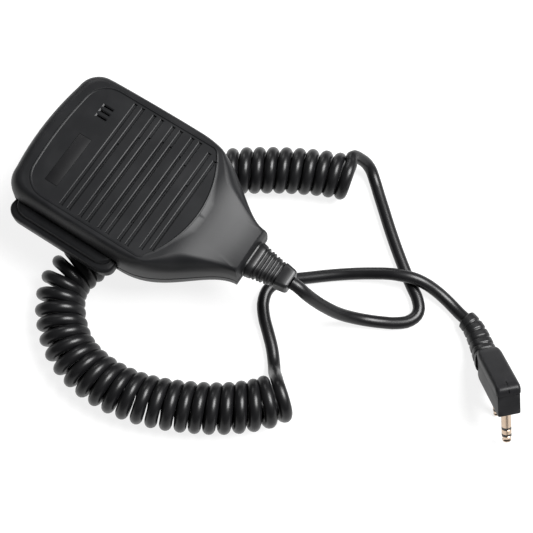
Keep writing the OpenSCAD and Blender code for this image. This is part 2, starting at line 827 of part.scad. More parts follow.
// Side view of the jaw: thumb tail, flat outer face, and the nose that meets the plate
jaw_line = [[hinge_x - 8, 6.4], [hinge_x - 2.5, 2], [hinge_x + 2, 0], [clip_reach - 9, 0],
            [clip_reach - 3, 3], [clip_reach - 0.6, 8], [clip_reach - 0.4, plate_z - 0.6]];
jaw_inner = [[clip_reach - 2.2, plate_z - 0.6], [clip_reach - 2.4, 8.4], [clip_reach - 4.2, 4.2],
             [clip_reach - 9.6, clip_t], [hinge_x + 2.4, clip_t], [hinge_x - 1.9, 3.1], [hinge_x - 7.4, 7.5]];
module clip_jaw() {
    color("#96999d")
    difference() {
        union() {
            translate([0, jaw_w / 2, 0])
                rotate([90, 0, 0])
                    linear_extrude(jaw_w)
                        polygon(concat(jaw_line, jaw_inner));
            for (s = [-1, 1])
                translate([0, s * (jaw_w / 2 - ear_t / 2), 0]) {
                    translate([hinge_x, ear_t / 2, hinge_z])
                        rotate([90, 0, 0])
                            cylinder(r = ear_r, h = ear_t);
                    translate([0, ear_t / 2, 0])
                        rotate([90, 0, 0])
                            linear_extrude(ear_t)
                                polygon([[hinge_x - ear_r, hinge_z], [hinge_x - 2.4, 2.6],
                                         [hinge_x + 2, 0.6], [hinge_x + 9, 0.6], [hinge_x + ear_r, hinge_z]]);
                }
        }
        translate([hinge_x, clip_w, hinge_z])
            rotate([90, 0, 0])
                cylinder(r = hinge_r + run_gap, h = 2 * clip_w);
    }
}

module clip_pin() {
    color("#b7babd")
    translate([hinge_x, clip_w / 2 + 0.3, hinge_z])
        rotate([90, 0, 0])
            cylinder(r = hinge_r, h = clip_w + 0.6);
}

spring_turns = 5;
spring_wire = 0.45;
spring_leg = 0.38;
module clip_spring() {
    coil_r = hinge_r + 0.9;
    step = 2 * spring_wire + 0.08;
    side = step * (spring_turns - 1) / 2;
    color("#c3c6c9")
    translate([hinge_x, 0, hinge_z]) {
        for (i = [0 : spring_turns - 1])
            translate([0, i * step - side, 0])
                rotate([90, 0, 0])
                    rotate_extrude()
                        translate([coil_r, 0])
                            circle(r = spring_wire, $fn = 16);
        // One leg bears on the plate, the other on the jaw
        translate([0, side, coil_r])
            rotate([0, 62, 0])
                cylinder(r = spring_leg, h = 6);
        translate([0, -side, -coil_r])
            rotate([0, 112, 0])
                cylinder(r = spring_leg, h = 6);
    }
}

// ---- cord ----
// Stretch from the strain relief to the curl, round the loop on the table
lead_mic_route = [
    [0, neck_y - relief_len, relief_z], [0, -91.5, 27.4], [0, -94.5, 25.4], [0.8, -98, 21], [2.4, -102, 15.4],
    [4.6, -106.5, 9.8], [7.2, -111, 5.8], [9.8, -115.6, 3.4], [12.4, -120.4, 2.4], [15.2, -125.2, 2.3],
    [18.6, -128.6, 2.3], [22.6, -129.4, 2.3], [26.4, -127, 2.3], [29.6, -122.8, 2.3], [33, -118.2, 2.3],
    [36.8, -113.4, 2.3], [41, -108.4, 2.3], [45.4, -103.4, 2.3], [50, -98.4, 2.3], [54.2, -93.8, 2.3],
    [58, -89.6, 2.7], [60.6, -85.6, 5], [60, -81.6, 9.4], [57.2, -79.2, 13.6]
];
// Axis of the curl, from the loop's side, under the case, to the lower end
curl_plan = [
    [51.7, -82.5], [49.6, -77], [47.4, -72], [45, -67.4], [42.6, -63], [40, -58.6], [37.2, -54.2],
    [34.2, -49.8], [31, -45.4], [26.4, -40.2], [20, -36], [13, -33.2], [5, -31], [-4, -28.4], [-13, -25.4],
    [-22, -21.8], [-30.6, -18.8], [-38.4, -18], [-45, -20.4], [-50.6, -24.8], [-55.4, -30.2], [-59, -37],
    [-60.8, -45.2], [-60.8, -54.2], [-59.2, -63.4], [-56, -72.6], [-51.6, -81.6], [-46.8, -89.8],
    [-41.8, -96.4], [-36.6, -101.8], [-30.8, -105.8]
];
curl_radii = [for (i = [0 : len(curl_plan) - 1])
    (curl_d_first + (curl_d - curl_d_first) * i / (len(curl_plan) - 1)) / 2];
// Stretch from the curl, under the relief and over the first stretch, to the plug
lead_plug_route = [
    [-28, -101.8, 14.1], [-26.6, -99.9, 9.2], [-24.8, -98.2, 4.8], [-22, -96.2, 2.6], [-17.4, -92.4, 2.3],
    [-13, -87.8, 2.3], [-8.4, -83, 2.3], [-3.4, -79.8, 2.3], [1.6, -79.2, 2.3], [5.8, -81.4, 2.3],
    [9.2, -85.2, 2.3], [12.8, -89.6, 2.3], [16.6, -94.2, 2.3], [20.2, -99, 2.6], [23.4, -104, 3.6],
    [26, -108.8, 5], [28.2, -113.2, 6.2], [29.8, -117.4, 7], [31.2, -121.4, 7.1], [32.2, -125.8, 6],
    [32.6, -130.4, 4.2], [32.2, -135, 2.9], [31.2, -139.2, 2.5], [30.2, -142.4, 2.8], [29.4, -145.2, 3.4]
];
module cord_lead_mic() {
    color("#1a1a1c")
    swept(lead_mic_route, same(cord_r, len(lead_mic_route)), 10);
}

module cord_curl() {
    color("#1a1a1c")
    swept([for (i = [0 : len(curl_plan) - 1]) [curl_plan[i][0], curl_plan[i][1], curl_radii[i]]],
          curl_radii, 12);
}

module cord_lead_plug() {
    color("#1a1a1c")
    swept(lead_plug_route, same(cord_r, len(lead_plug_route)), 10);
}

// ---- plug: its own frame has +X along the housing, away from the cord, and -Z along the pins ----
plug_at = [18.8, -159.2, 8.1];
plug_heading = -136;
plug_tilt = 40;
module in_plug() {
    translate(plug_at)
        rotate([0, 0, plug_heading])
            rotate([0, -plug_tilt, 0])
                children();
}
plug_dir = [cos(plug_heading) * cos(plug_tilt), sin(plug_heading) * cos(plug_tilt), sin(plug_tilt)];
boot_start = lead_plug_route[len(lead_plug_route) - 1];
boot_dir = unit(boot_start - lead_plug_route[len(lead_plug_route) - 2]);
boot_l = norm(plug_at - boot_start);
// Curve of the boot from the cord's direction to the housing's
function boot_at(t) =
    let (a = boot_start, b = boot_start + boot_dir * boot_l / 3,
         c = plug_at - plug_dir * boot_l / 3, d = plug_at, s = 1 - t)
    a * s * s * s + b * 3 * s * s * t + c * 3 * s * t * t + d * t * t * t;
module plug_boot() {
    steps = 12;
    color("#1b1b1d")
    swept([for (i = [0 : steps]) boot_at(i / steps)],
          [for (i = [0 : steps]) 3.1 + 1.1 * i / steps - (i % 2) * 0.4], 12);
}

big_x = plug_l - 4.5;
small_x = big_x - pin_pitch;
cap_t = 3.4;
cap_over = 0.35;
module plug_body() {
    bottom = -plug_t / 2;
    color("#2b2c2e")
    in_plug()
        difference() {
            translate([0, -plug_w / 2 + cap_over, bottom])
                cube([plug_l - cap_over, plug_w - 2 * cap_over, plug_t - cap_t]);
            translate([big_x, 0, bottom - 1])
                cylinder(r = 1.2, h = 4);
            translate([small_x, 0, bottom - 1])
                cylinder(r = 0.85, h = 4);
        }
}

module plug_cap() {
    color("#3a3b3e")
    in_plug()
        translate([0, 0, plug_t / 2 - cap_t])
            intersection() {
                translate([0, -plug_w / 2, 0])
                    cube([plug_l, plug_w, cap_t]);
                translate([0, plug_w, 0])
                    rotate([90, 0, 0])
                        linear_extrude(2 * plug_w)
                            polygon([[0, 0], [plug_l, 0], [plug_l, cap_t - 2.4], [plug_l - 0.7, cap_t - 0.9],
                                     [plug_l - 2.2, cap_t], [0, cap_t]]);
            }
}

// A jack pin: sleeve, insulator, ring, insulator and tip, as fractions of its length
sleeve_end = 0.52;
ring_start = 0.58;
ring_end = 0.72;
tip_start = 0.78;
insulator_t = 0.06;
module pin_frame(x) {
    in_plug()
        translate([x, 0, -plug_t / 2])
            rotate([180, 0, 0])
                children();
}

module pin_sleeve(x, r, l) {
    color("#d8b98c")
    pin_frame(x)
        difference() {
            cylinder(r = r, h = sleeve_end * l);
            translate([0, 0, -1])
                cylinder(r = r * 0.5, h = l);
        }
}

module pin_ring(x, r, l) {
    color("#d8b98c")
    pin_frame(x)
        translate([0, 0, ring_start * l])
            difference() {
                cylinder(r = r, h = (ring_end - ring_start) * l);
                translate([0, 0, -1])
                    cylinder(r = r * 0.5, h = l);
            }
}

module pin_tip(x, r, l) {
    color("#d8b98c")
    pin_frame(x)
        rotate_extrude()
            polygon([[0, tip_start * l], [r, tip_start * l], [r, tip_start * l + 0.3], [r * 0.72, 0.88 * l],
                     [r * 0.92, 0.92 * l], [r * 0.4, l], [0, l]]);
}

module pin_insulators(x, r, l) {
    color("#111111")
    pin_frame(x) {
        translate([0, 0, sleeve_end * l])
            cylinder(r = r, h = insulator_t * l);
        translate([0, 0, ring_end * l])
            cylinder(r = r, h = insulator_t * l);
        translate([0, 0, -2.5])
            cylinder(r = r * 0.48, h = tip_start * l + 2.5);
    }
}

big_r = 1.75;
small_r = 1.25;
module big_pin_sleeve() { pin_sleeve(big_x, big_r, big_pin_l); }
module big_pin_ring() { pin_ring(big_x, big_r, big_pin_l); }
module big_pin_tip() { pin_tip(big_x, big_r, big_pin_l); }
module big_pin_insulators() { pin_insulators(big_x, big_r, big_pin_l); }
module small_pin_sleeve() { pin_sleeve(small_x, small_r, small_pin_l); }
module small_pin_ring() { pin_ring(small_x, small_r, small_pin_l); }
module small_pin_tip() { pin_tip(small_x, small_r, small_pin_l); }
module small_pin_insulators() { pin_insulators(small_x, small_r, small_pin_l); }

front_case();
rear_case();
label_plate();
grille_cloth();
speaker_gasket();
speaker_frame();
speaker_yoke();
speaker_magnet();
speaker_pole_plate();
speaker_cone();
speaker_surround();
voice_coil();
dust_cap();
mic_capsule();
mic_boot();
circuit_board();
board_parts();
ptt_switch();
ptt_plunger();
ptt_button();
ptt_pin();
earphone_jack();
jack_cover();
case_screws();
inner_cable();
cord_clamp();
clamp_screws();
inner_wires();
strain_relief();
swivel_stud();
swivel_washer();
clip_plate();
clip_jaw();
clip_pin();
clip_spring();
cord_lead_mic();
cord_curl();
cord_lead_plug();
plug_boot();
plug_body();
plug_cap();
big_pin_sleeve();
big_pin_ring();
big_pin_tip();
big_pin_insulators();
small_pin_sleeve();
small_pin_ring();
small_pin_tip();
small_pin_insulators();
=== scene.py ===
import logging
import math
from dataclasses import dataclass
from enum import Enum
from typing import Callable, Sequence

import bmesh
import bpy
from mathutils import Matrix, Vector


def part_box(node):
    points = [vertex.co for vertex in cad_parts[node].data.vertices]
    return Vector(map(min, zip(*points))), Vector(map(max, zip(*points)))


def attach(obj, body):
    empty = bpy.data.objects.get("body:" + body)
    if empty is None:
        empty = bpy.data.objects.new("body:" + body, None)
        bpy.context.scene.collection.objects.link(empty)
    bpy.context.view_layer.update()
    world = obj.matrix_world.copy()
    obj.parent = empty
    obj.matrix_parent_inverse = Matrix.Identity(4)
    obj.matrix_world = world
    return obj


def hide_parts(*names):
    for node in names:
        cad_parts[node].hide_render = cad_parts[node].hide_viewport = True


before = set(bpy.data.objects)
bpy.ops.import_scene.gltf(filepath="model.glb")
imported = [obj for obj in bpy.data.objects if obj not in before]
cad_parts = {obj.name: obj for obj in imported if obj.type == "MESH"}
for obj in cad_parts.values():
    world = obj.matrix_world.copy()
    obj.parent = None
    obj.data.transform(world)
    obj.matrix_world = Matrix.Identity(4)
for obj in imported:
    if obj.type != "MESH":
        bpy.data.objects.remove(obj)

LOG = logging.getLogger("hand_microphone")
MM = 0.001
MERGE = 0.002 * MM       # vertices closer than this become one
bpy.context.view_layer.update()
Point = Sequence[float]


# ---------------------------------------------------------------- bench: the edit-mode operators in use
def clear_bench() -> None:
    """Leaves edit mode and deselects everything, so that an operator acts on nothing by mistake."""
    if bpy.context.object and bpy.context.object.mode != "OBJECT":
        bpy.ops.object.mode_set(mode="OBJECT")
    bpy.ops.object.select_all(action="DESELECT")


def take_up(piece: bpy.types.Object) -> None:
    """Makes a piece the only selected and active object."""
    clear_bench()
    piece.select_set(True)
    bpy.context.view_layer.objects.active = piece


def name_it(piece: bpy.types.Object, name: str) -> bpy.types.Object:
    """Gives an object and its mesh the same name."""
    piece.name = name
    piece.data.name = name
    return piece


class Loft:
    """A mesh piece drawn up ring by ring with the extrude operator, as a shell is pulled from its outline."""

    def __init__(self, name: str, ring: Sequence[Point]) -> None:
        """Starts from a circle with one vertex for each point, and shapes it into the first ring.

        Args:
            name: Name of the piece.
            ring: Points of the first ring, in metres.
        """
        clear_bench()
        bpy.ops.mesh.primitive_circle_add(vertices=len(ring), radius=0.01)
        self.piece = name_it(bpy.context.object, name)
        bpy.ops.object.mode_set(mode="EDIT")
        bpy.ops.mesh.select_mode(type="VERT")
        self.ring = list(range(len(ring)))
        self.size = len(ring)
        self._place(self.ring, ring)

    def _place(self, indices: Sequence[int], points: Sequence[Point]) -> None:
        """Puts the vertices with these indices at these points."""
        mesh = bmesh.from_edit_mesh(self.piece.data)
        mesh.verts.ensure_lookup_table()
        for index, point in zip(indices, points):
            mesh.verts[index].co = point
        bmesh.update_edit_mesh(self.piece.data)

    def _select(self, indices: Sequence[int]) -> None:
        """Selects only the vertices with these indices, and the edges between them."""
        bpy.ops.mesh.select_all(action="DESELECT")
        mesh = bmesh.from_edit_mesh(self.piece.data)
        mesh.verts.ensure_lookup_table()
        for index in indices:
            mesh.verts[index].select = True
        mesh.select_flush(True)
        bmesh.update_edit_mesh(self.piece.data)

    def to(self, ring: Sequence[Point]) -> "Loft":
        """Extrudes the last ring and shapes the new one.

        Args:
            ring: Points of the new ring, as many as the first ring has.

        Returns:
            The loft itself.
        """
        self._select(self.ring)
        bpy.ops.mesh.extrude_edges_move()
        mesh = bmesh.from_edit_mesh(self.piece.data)
        mesh.verts.ensure_lookup_table()
        old = set(self.ring)
        fresh = []
        for index in self.ring:
            vertex = mesh.verts[index]
            fresh.append(next(edge.other_vert(vertex).index for edge in vertex.link_edges
                              if edge.other_vert(vertex).select and edge.other_vert(vertex).index not in old))
        self.ring = fresh
        self._place(self.ring, ring)
        return self

    def through(self, rings: Sequence[Sequence[Point]]) -> "Loft":
        """Extrudes through several rings."""
        for ring in rings:
            self.to(ring)
        return self

    def cap(self) -> "Loft":
        """Closes the last ring with one face."""
        self._select(self.ring)
        bpy.ops.mesh.edge_face_add()
        return self

    def cap_first(self) -> "Loft":
        """Closes the first ring with one face."""
        self._select(range(self.size))
        bpy.ops.mesh.edge_face_add()
        return self

    def done(self, smooth_deg: float = 40.0) -> bpy.types.Object:
        """Merges doubled vertices, turns all faces outwards and smooths the shading.

        Args:
            smooth_deg: Edges sharper than this angle stay sharp.

        Returns:
            The finished object.
        """
        bpy.ops.mesh.select_all(action="SELECT")
        bpy.ops.mesh.remove_doubles(threshold=MERGE)
        bpy.ops.mesh.normals_make_consistent(inside=False)
        bpy.ops.object.mode_set(mode="OBJECT")
        shade(self.piece, smooth_deg)
        return self.piece


def shade(piece: bpy.types.Object, smooth_deg: float = 40.0) -> None:
    """Shades a piece smooth, but for its sharp edges."""
    take_up(piece)
    bpy.ops.object.shade_smooth_by_angle(angle=math.radians(smooth_deg))
    piece.select_set(False)


def add_modifier(piece: bpy.types.Object, kind: str, **settings: object) -> None:
    """Adds a modifier with its settings and applies it.

    Args:
        piece: The object that the modifier works on.
        kind: Type of the modifier, such as BEVEL.
        **settings: Values of the modifier's properties.
    """
    take_up(piece)
    modifier = piece.modifiers.new(kind.lower(), kind)
    for key, value in settings.items():
        setattr(modifier, key, value)
    bpy.ops.object.modifier_apply(modifier=modifier.name)


def round_edges(piece: bpy.types.Object, width: float, steps: int = 2, over_deg: float = 32.0) -> None:
    """Rounds the sharp edges of a piece.

    Args:
        piece: The object whose edges are rounded.
        width: Width of the rounding, in metres.
        steps: Number of faces across it.
        over_deg: Only edges sharper than this angle are rounded.
    """
    add_modifier(piece, "BEVEL", width=width, segments=steps, limit_method="ANGLE",
                 angle_limit=math.radians(over_deg), miter_outer="MITER_ARC", harden_normals=False)


def softened(node: str, width: float, steps: int = 2) -> bpy.types.Object:
    """A copy of a CAD piece with its sharp edges rounded, which stands for it.

    Args:
        node: Name of the CAD node.
        width: Width of the rounding, in metres.
        steps: Number of faces across it.

    Returns:
        The finished piece.
    """
    clear_bench()
    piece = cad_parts[node].copy()
    piece.data = piece.data.copy()
    piece.parent = None
    piece.matrix_world = Matrix.Identity(4)
    bpy.context.collection.objects.link(piece)
    name_it(piece, node + "_finished")
    take_up(piece)
    bpy.ops.object.mode_set(mode="EDIT")
    bpy.ops.mesh.select_all(action="SELECT")
    bpy.ops.mesh.remove_doubles(threshold=MERGE)
    bpy.ops.mesh.dissolve_limited(angle_limit=math.radians(1.0))
    bpy.ops.object.mode_set(mode="OBJECT")
    if width > 0:
        round_edges(piece, width, steps)
    shade(piece)
    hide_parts(node)
    return piece


def cylinder(name: str, radius: float, start: Point, end: Point, sides: int = 32) -> bpy.types.Object:
    """A cylinder between two points, as stock for cutting or joining.

    Args:
        name: Name of the piece.
        radius: Its radius, in metres.
        start: Centre of one end.
        end: Centre of the other end.
        sides: Number of its sides.

    Returns:
        The object, with its place in its mesh.
    """
    clear_bench()
    axis = Vector(end) - Vector(start)
    bpy.ops.mesh.primitive_cylinder_add(vertices=sides, radius=radius, depth=axis.length,
                                        location=(Vector(start) + Vector(end)) / 2,
                                        rotation=axis.to_track_quat("Z", "Y").to_euler())
    piece = name_it(bpy.context.object, name)
    bpy.ops.object.transform_apply(location=True, rotation=True, scale=True)
    return piece


def block(name: str, low: Point, high: Point) -> bpy.types.Object:
    """A box between two corners, as stock for cutting or joining."""
    clear_bench()
    low, high = Vector(low), Vector(high)
    bpy.ops.mesh.primitive_cube_add(size=1.0, location=(low + high) / 2, scale=high - low)
    piece = name_it(bpy.context.object, name)
    bpy.ops.object.transform_apply(location=True, rotation=True, scale=True)
    return piece


def flat_faced(piece: bpy.types.Object) -> None:
    """Splits a piece's faces into triangles, so that cutting meets only flat faces."""
    take_up(piece)
    bpy.ops.object.mode_set(mode="EDIT")
    bpy.ops.mesh.select_all(action="SELECT")
    bpy.ops.mesh.quads_convert_to_tris(quad_method="BEAUTY", ngon_method="BEAUTY")
    bpy.ops.object.mode_set(mode="OBJECT")


def combine(piece: bpy.types.Object, tools: Sequence[bpy.types.Object], operation: str) -> None:
    """Adds tools to a piece, or cuts them out of it, and removes them.

    Args:
        piece: The object that stays.
        tools: The objects that are used up.
        operation: UNION or DIFFERENCE.
    """
    flat_faced(piece)
    for tool in tools:
        flat_faced(tool)
    kit = bpy.data.collections.new("kit")
    bpy.context.scene.collection.children.link(kit)
    for tool in tools:
        for home in list(tool.users_collection):
            home.objects.unlink(tool)
        kit.objects.link(tool)
    add_modifier(piece, "BOOLEAN", operation=operation, operand_type="COLLECTION", collection=kit,
                 solver="EXACT", use_self=True)
    for tool in tools:
        bpy.data.objects.remove(tool)
    bpy.data.collections.remove(kit)


def spun(name: str, profile: Sequence[Point], centre: Point, axis: Point,
         sides: int = 40) -> bpy.types.Object:
    """A turned piece: a profile of (radius, height) points spun round an axis.

    Args:
        name: Name of the piece.
        profile: Points as (radius, height along the axis), in metres.
        centre: Where height is zero on the axis.
        axis: Direction of the axis.
        sides: Steps of the spin.

    Returns:
        The closed turned piece.
    """
    clear_bench()
    across = Vector(axis).normalized()
    side = across.orthogonal().normalized()
    bpy.ops.mesh.primitive_circle_add(vertices=len(profile), radius=0.01)
    piece = name_it(bpy.context.object, name)
    bpy.ops.object.mode_set(mode="EDIT")
    mesh = bmesh.from_edit_mesh(piece.data)
    mesh.verts.ensure_lookup_table()
    for vertex, (radius, height) in zip(mesh.verts, profile):
        vertex.co = Vector(centre) + side * radius + across * height
    bmesh.update_edit_mesh(piece.data)
    bpy.ops.mesh.select_all(action="SELECT")
    bpy.ops.mesh.spin(steps=sides, angle=2 * math.pi, center=centre, axis=across, use_auto_merge=True)
    bpy.ops.mesh.select_all(action="SELECT")
    bpy.ops.mesh.remove_doubles(threshold=MERGE)
    bpy.ops.mesh.dissolve_degenerate(threshold=0.001 * MM)
    bpy.ops.mesh.select_all(action="SELECT")
    bpy.ops.mesh.delete_loose()
    bpy.ops.mesh.select_all(action="SELECT")
    bpy.ops.mesh.normals_make_consistent(inside=False)
    bpy.ops.object.mode_set(mode="OBJECT")
    shade(piece)
    return piece


# ---------------------------------------------------------------- finishes
class Value:
    """A number or colour that varies over a surface: a node's socket with arithmetic on it."""

    def __init__(self, shader: "Shader", socket: bpy.types.NodeSocket) -> None:
        """Wraps an output socket."""
        self.shader = shader
        self.socket = socket

    def _math(self, operation: str, first: object, second: object) -> "Value":
        """Adds one Math node."""
        return self.shader.node("ShaderNodeMath", {"operation": operation}, {0: first, 1: second})

    def __add__(self, other: object) -> "Value":
        """Sum."""
        return self._math("ADD", self, other)

    __radd__ = __add__

    def __sub__(self, other: object) -> "Value":
        """Difference."""
        return self._math("SUBTRACT", self, other)

    def __mul__(self, other: object) -> "Value":
        """Product."""
        return self._math("MULTIPLY", self, other)

    __rmul__ = __mul__

    def __gt__(self, other: object) -> "Value":
        """1 where it is greater, else 0."""
        return self._math("GREATER_THAN", self, other)

    def sine(self) -> "Value":
        """Its sine."""
        return self._math("SINE", self, 0.0)

    def larger(self, other: object) -> "Value":
        """The larger of two."""
        return self._math("MAXIMUM", self, other)


class Shader:
    """The node tree of one material."""

    def __init__(self, name: str) -> None:
        """Makes a material with its surface shader."""
        self.material = bpy.data.materials.new(name)
        self.material.use_nodes = True
        self.tree = self.material.node_tree
        self.surface = self.tree.nodes["Principled BSDF"]

    def node(self, kind: str, settings: dict, inputs: dict, output: object = 0) -> Value:
        """Adds a node.

        Args:
            kind: The node's type.
            settings: Its properties, or "stops" for a ramp: a list of (place, grey level).
            inputs: Values or links of its sockets, by name or index.
            output: Name or index of the output that is used.

        Returns:
            The output, wrapped.
        """
        made = self.tree.nodes.new(kind)
        for key, value in settings.items():
            if key == "stops":
                ramp = made.color_ramp
                for stop, (place, level) in zip((ramp.elements[0], ramp.elements[1]), value):
                    stop.position = place
                    stop.color = (level, level, level, 1.0)
            else:
                setattr(made, key, value)
        for key, value in inputs.items():
            self.feed(made.inputs[key], value)
        return Value(self, made.outputs[output])

    def feed(self, socket: bpy.types.NodeSocket, value: object) -> None:
        """Links a value to a socket, or sets the socket to it."""
        if isinstance(value, Value):
            self.tree.links.new(value.socket, socket)
        else:
            socket.default_value = value

    def set(self, **sockets: object) -> None:
        """Feeds the surface shader; an underscore in a name stands for a space."""
        for key, value in sockets.items():
            self.feed(self.surface.inputs[key.replace("_", " ")], value)


class Grain(Enum):
    """What the surface of a finish is like up close."""

    SATIN = "moulded"
    BRUSHED = "brushed along one way"
    WOVEN = "woven"
    TRACES = "copper traces under lacquer"
    WOUND = "fine wire side by side"
    FIBRE = "pressed fibre"


MATERIALS: dict[str, bpy.types.Material] = {}


@dataclass(frozen=True)
class Finish:
    """A finish: its colours, gloss and grain.

    Attributes:
        name: Name of the finish.
        slot: Material slot of the record; not used.
        colour: Main colour.
        shade: Colour of the lighter, worn or dusty spots.
        roughness: Mean roughness.
        spread: How much the roughness varies.
        metallic: 1 for bare metal.
        grain: Kind of grain.
        grain_size: Size of the grain, in metres.
        relief: Height of the grain, in metres.
        coat: Weight of a clear coat.
        specular: Strength of the surface's reflection.
    """

    name: str
    slot: str
    colour: tuple[float, float, float]
    shade: tuple[float, float, float]
    roughness: float
    spread: float = 0.1
    metallic: float = 0.0
    grain: Grain = Grain.SATIN
    grain_size: float = 0.22 * MM
    relief: float = 0.004 * MM
    coat: float = 0.0
    specular: float = 0.5

    def _noise(self, shader: Shader, place: Value, size: float, detail: float = 2.0) -> Value:
        """Soft noise of a given size."""
        return shader.node("ShaderNodeTexNoise", {}, {"Vector": place, "Scale": 1.0 / size, "Detail": detail})

    def _pattern(self, shader: Shader, place: Value) -> tuple[Value, Value]:
        """The grain's height and the mask of its lighter spots."""
        broad = self._noise(shader, place, 9 * MM)
        fine = self._noise(shader, place, self.grain_size)
        if self.grain is Grain.BRUSHED:
            long = shader.node("ShaderNodeMapping", {"vector_type": "POINT"},
                               {"Vector": place, "Scale": (0.04, 1, 1)})
            strokes = self._noise(shader, long, self.grain_size, 3.0)
            return strokes, strokes * 0.7 + broad * 0.3
        x, y, z = (shader.node("ShaderNodeSeparateXYZ", {}, {0: place}, axis) for axis in "XYZ")
        turn = 2 * math.pi / self.grain_size
        if self.grain is Grain.WOVEN:
            threads = (x * turn).sine().larger((y * turn).sine())
            return threads, threads * 0.35 + fine * 0.3
        if self.grain is Grain.WOUND:
            return (z * turn).sine(), broad
        if self.grain is Grain.TRACES:
            lanes = (x * turn + (y * (turn / 3)).sine() * 1.6).sine()
            edge = lanes > 0.35
            return edge, edge * 0.7 + fine * 0.3
        if self.grain is Grain.FIBRE:
            hairs = shader.node("ShaderNodeTexVoronoi", {"feature": "DISTANCE_TO_EDGE"},
                                {"Vector": place, "Scale": 1.0 / self.grain_size})
            return hairs + fine, fine
        return fine, broad * 0.75 + fine * 0.25

    def material(self) -> bpy.types.Material:
        """The material of this finish, made once."""
        if self.name in MATERIALS:
            return MATERIALS[self.name]
        shader = Shader(self.name)
        place = shader.node("ShaderNodeTexCoord", {}, {}, "Object")
        height, mask = self._pattern(shader, place)
        spots = shader.node("ShaderNodeValToRGB", {"stops": [(0.42, 0.0), (0.72, 1.0)]}, {0: mask})
        colour = shader.node("ShaderNodeMix", {"data_type": "RGBA"},
                             {0: spots, 6: (*self.colour, 1.0), 7: (*self.shade, 1.0)}, 2)
        bump = shader.node("ShaderNodeBump", {}, {"Strength": 1.0, "Distance": self.relief, "Height": height})
        shader.set(Base_Color=colour, Roughness=(mask - 0.5) * self.spread + self.roughness, Normal=bump,
                   Metallic=self.metallic, Coat_Weight=self.coat, Specular_IOR_Level=self.specular)
        MATERIALS[self.name] = shader.material
        return shader.material

    def dress(self, piece: bpy.types.Object) -> bpy.types.Object:
        """Gives a piece, new or carried over, this finish."""
        if not piece.material_slots:
            piece.data.materials.append(self.material())
        for slot in piece.material_slots:
            slot.material = self.material()
        return piece


CASE_BLACK = Finish("case black", "case_plastic", (0.006, 0.0062, 0.0068), (0.0095, 0.0097, 0.0104), 0.42,
                    spread=0.06, relief=0.006 * MM, specular=0.17)
BAR_BLACK = Finish("bar black", "bar_plastic", (0.006, 0.0062, 0.0068), (0.009, 0.0092, 0.0098), 0.42,
                   relief=0.006 * MM, specular=0.12)
LABEL_BLACK = Finish("label black", "label_plastic", (0.004, 0.004, 0.0045), (0.006, 0.006, 0.0065), 0.5,
                     grain_size=0.1 * MM, specular=0.16)
JACKET = Finish("cord jacket", "cord_jacket", (0.004, 0.004, 0.0044), (0.0065, 0.0065, 0.007), 0.34,
                grain_size=0.5 * MM, relief=0.006 * MM, specular=0.26)
RELIEF_RUBBER = Finish("relief rubber", "relief_rubber", (0.005, 0.005, 0.0054), (0.009, 0.009, 0.0095), 0.38,
                       grain_size=0.3 * MM, relief=0.006 * MM, specular=0.3)
SOFT_RUBBER = Finish("soft rubber", "soft_rubber", (0.012, 0.012, 0.012), (0.02, 0.02, 0.02), 0.62)
PLUG_BLACK = Finish("plug black", "plug_plastic", (0.007, 0.007, 0.0076), (0.011, 0.011, 0.012), 0.38,
                    specular=0.14)
PALE_GOLD = Finish("pale gold plate", "contact_metal", (0.5, 0.385, 0.29), (0.58, 0.47, 0.38), 0.16,
                   metallic=1.0, grain_size=0.3 * MM, relief=0.0008 * MM)
INSULATOR = Finish("black insulator", "insulator_plastic", (0.01, 0.01, 0.01), (0.016, 0.016, 0.016), 0.35)
CLIP_STEEL = Finish("dark spring steel", "clip_steel", (0.2, 0.205, 0.215), (0.3, 0.305, 0.315), 0.36,
                    metallic=1.0, grain=Grain.BRUSHED, relief=0.0015 * MM)
PLATED = Finish("zinc plate", "plated_steel", (0.55, 0.56, 0.58), (0.66, 0.66, 0.66), 0.3, metallic=1.0,
                grain=Grain.BRUSHED, relief=0.001 * MM)
SCREW_STEEL = Finish("screw steel", "screw_steel", (0.4, 0.41, 0.43), (0.52, 0.52, 0.53), 0.32, metallic=1.0,
                     relief=0.001 * MM)
BRASS = Finish("turned brass", "brass", (0.62, 0.45, 0.2), (0.72, 0.56, 0.3), 0.28, metallic=1.0,
               grain=Grain.WOUND, grain_size=0.12 * MM, relief=0.001 * MM)
FERRITE = Finish("sintered magnet", "magnet_iron", (0.07, 0.07, 0.075), (0.12, 0.12, 0.125), 0.55)
COPPER = Finish("enamelled wire", "copper", (0.6, 0.24, 0.09), (0.72, 0.34, 0.15), 0.25, metallic=1.0,
                grain=Grain.WOUND, grain_size=0.16 * MM, relief=0.01 * MM)
PAPER = Finish("pressed paper", "cone_paper", (0.03, 0.027, 0.024), (0.05, 0.046, 0.04), 0.8,
               grain=Grain.FIBRE, grain_size=0.6 * MM, relief=0.02 * MM)
CLOTH = Finish("grille cloth", "grille_cloth", (0.008, 0.008, 0.009), (0.02, 0.02, 0.021), 0.85,
               grain=Grain.WOVEN, grain_size=0.5 * MM, relief=0.04 * MM)
ALUMINIUM = Finish("satin aluminium", "aluminium", (0.7, 0.71, 0.72), (0.8, 0.8, 0.8), 0.34, metallic=1.0)
BOARD = Finish("green lacquer", "board_green", (0.012, 0.1, 0.035), (0.03, 0.19, 0.08), 0.32,
               grain=Grain.TRACES, grain_size=1.6 * MM, relief=0.02 * MM)
PART_BLACK = Finish("moulded parts", "part_plastic", (0.02, 0.02, 0.022), (0.035, 0.035, 0.037), 0.5)
IVORY = Finish("ivory plunger", "ivory_plastic", (0.72, 0.66, 0.5), (0.8, 0.75, 0.6), 0.4)
WIRE_RED = Finish("wire insulation", "wire_pvc", (0.4, 0.03, 0.02), (0.5, 0.07, 0.05), 0.35)


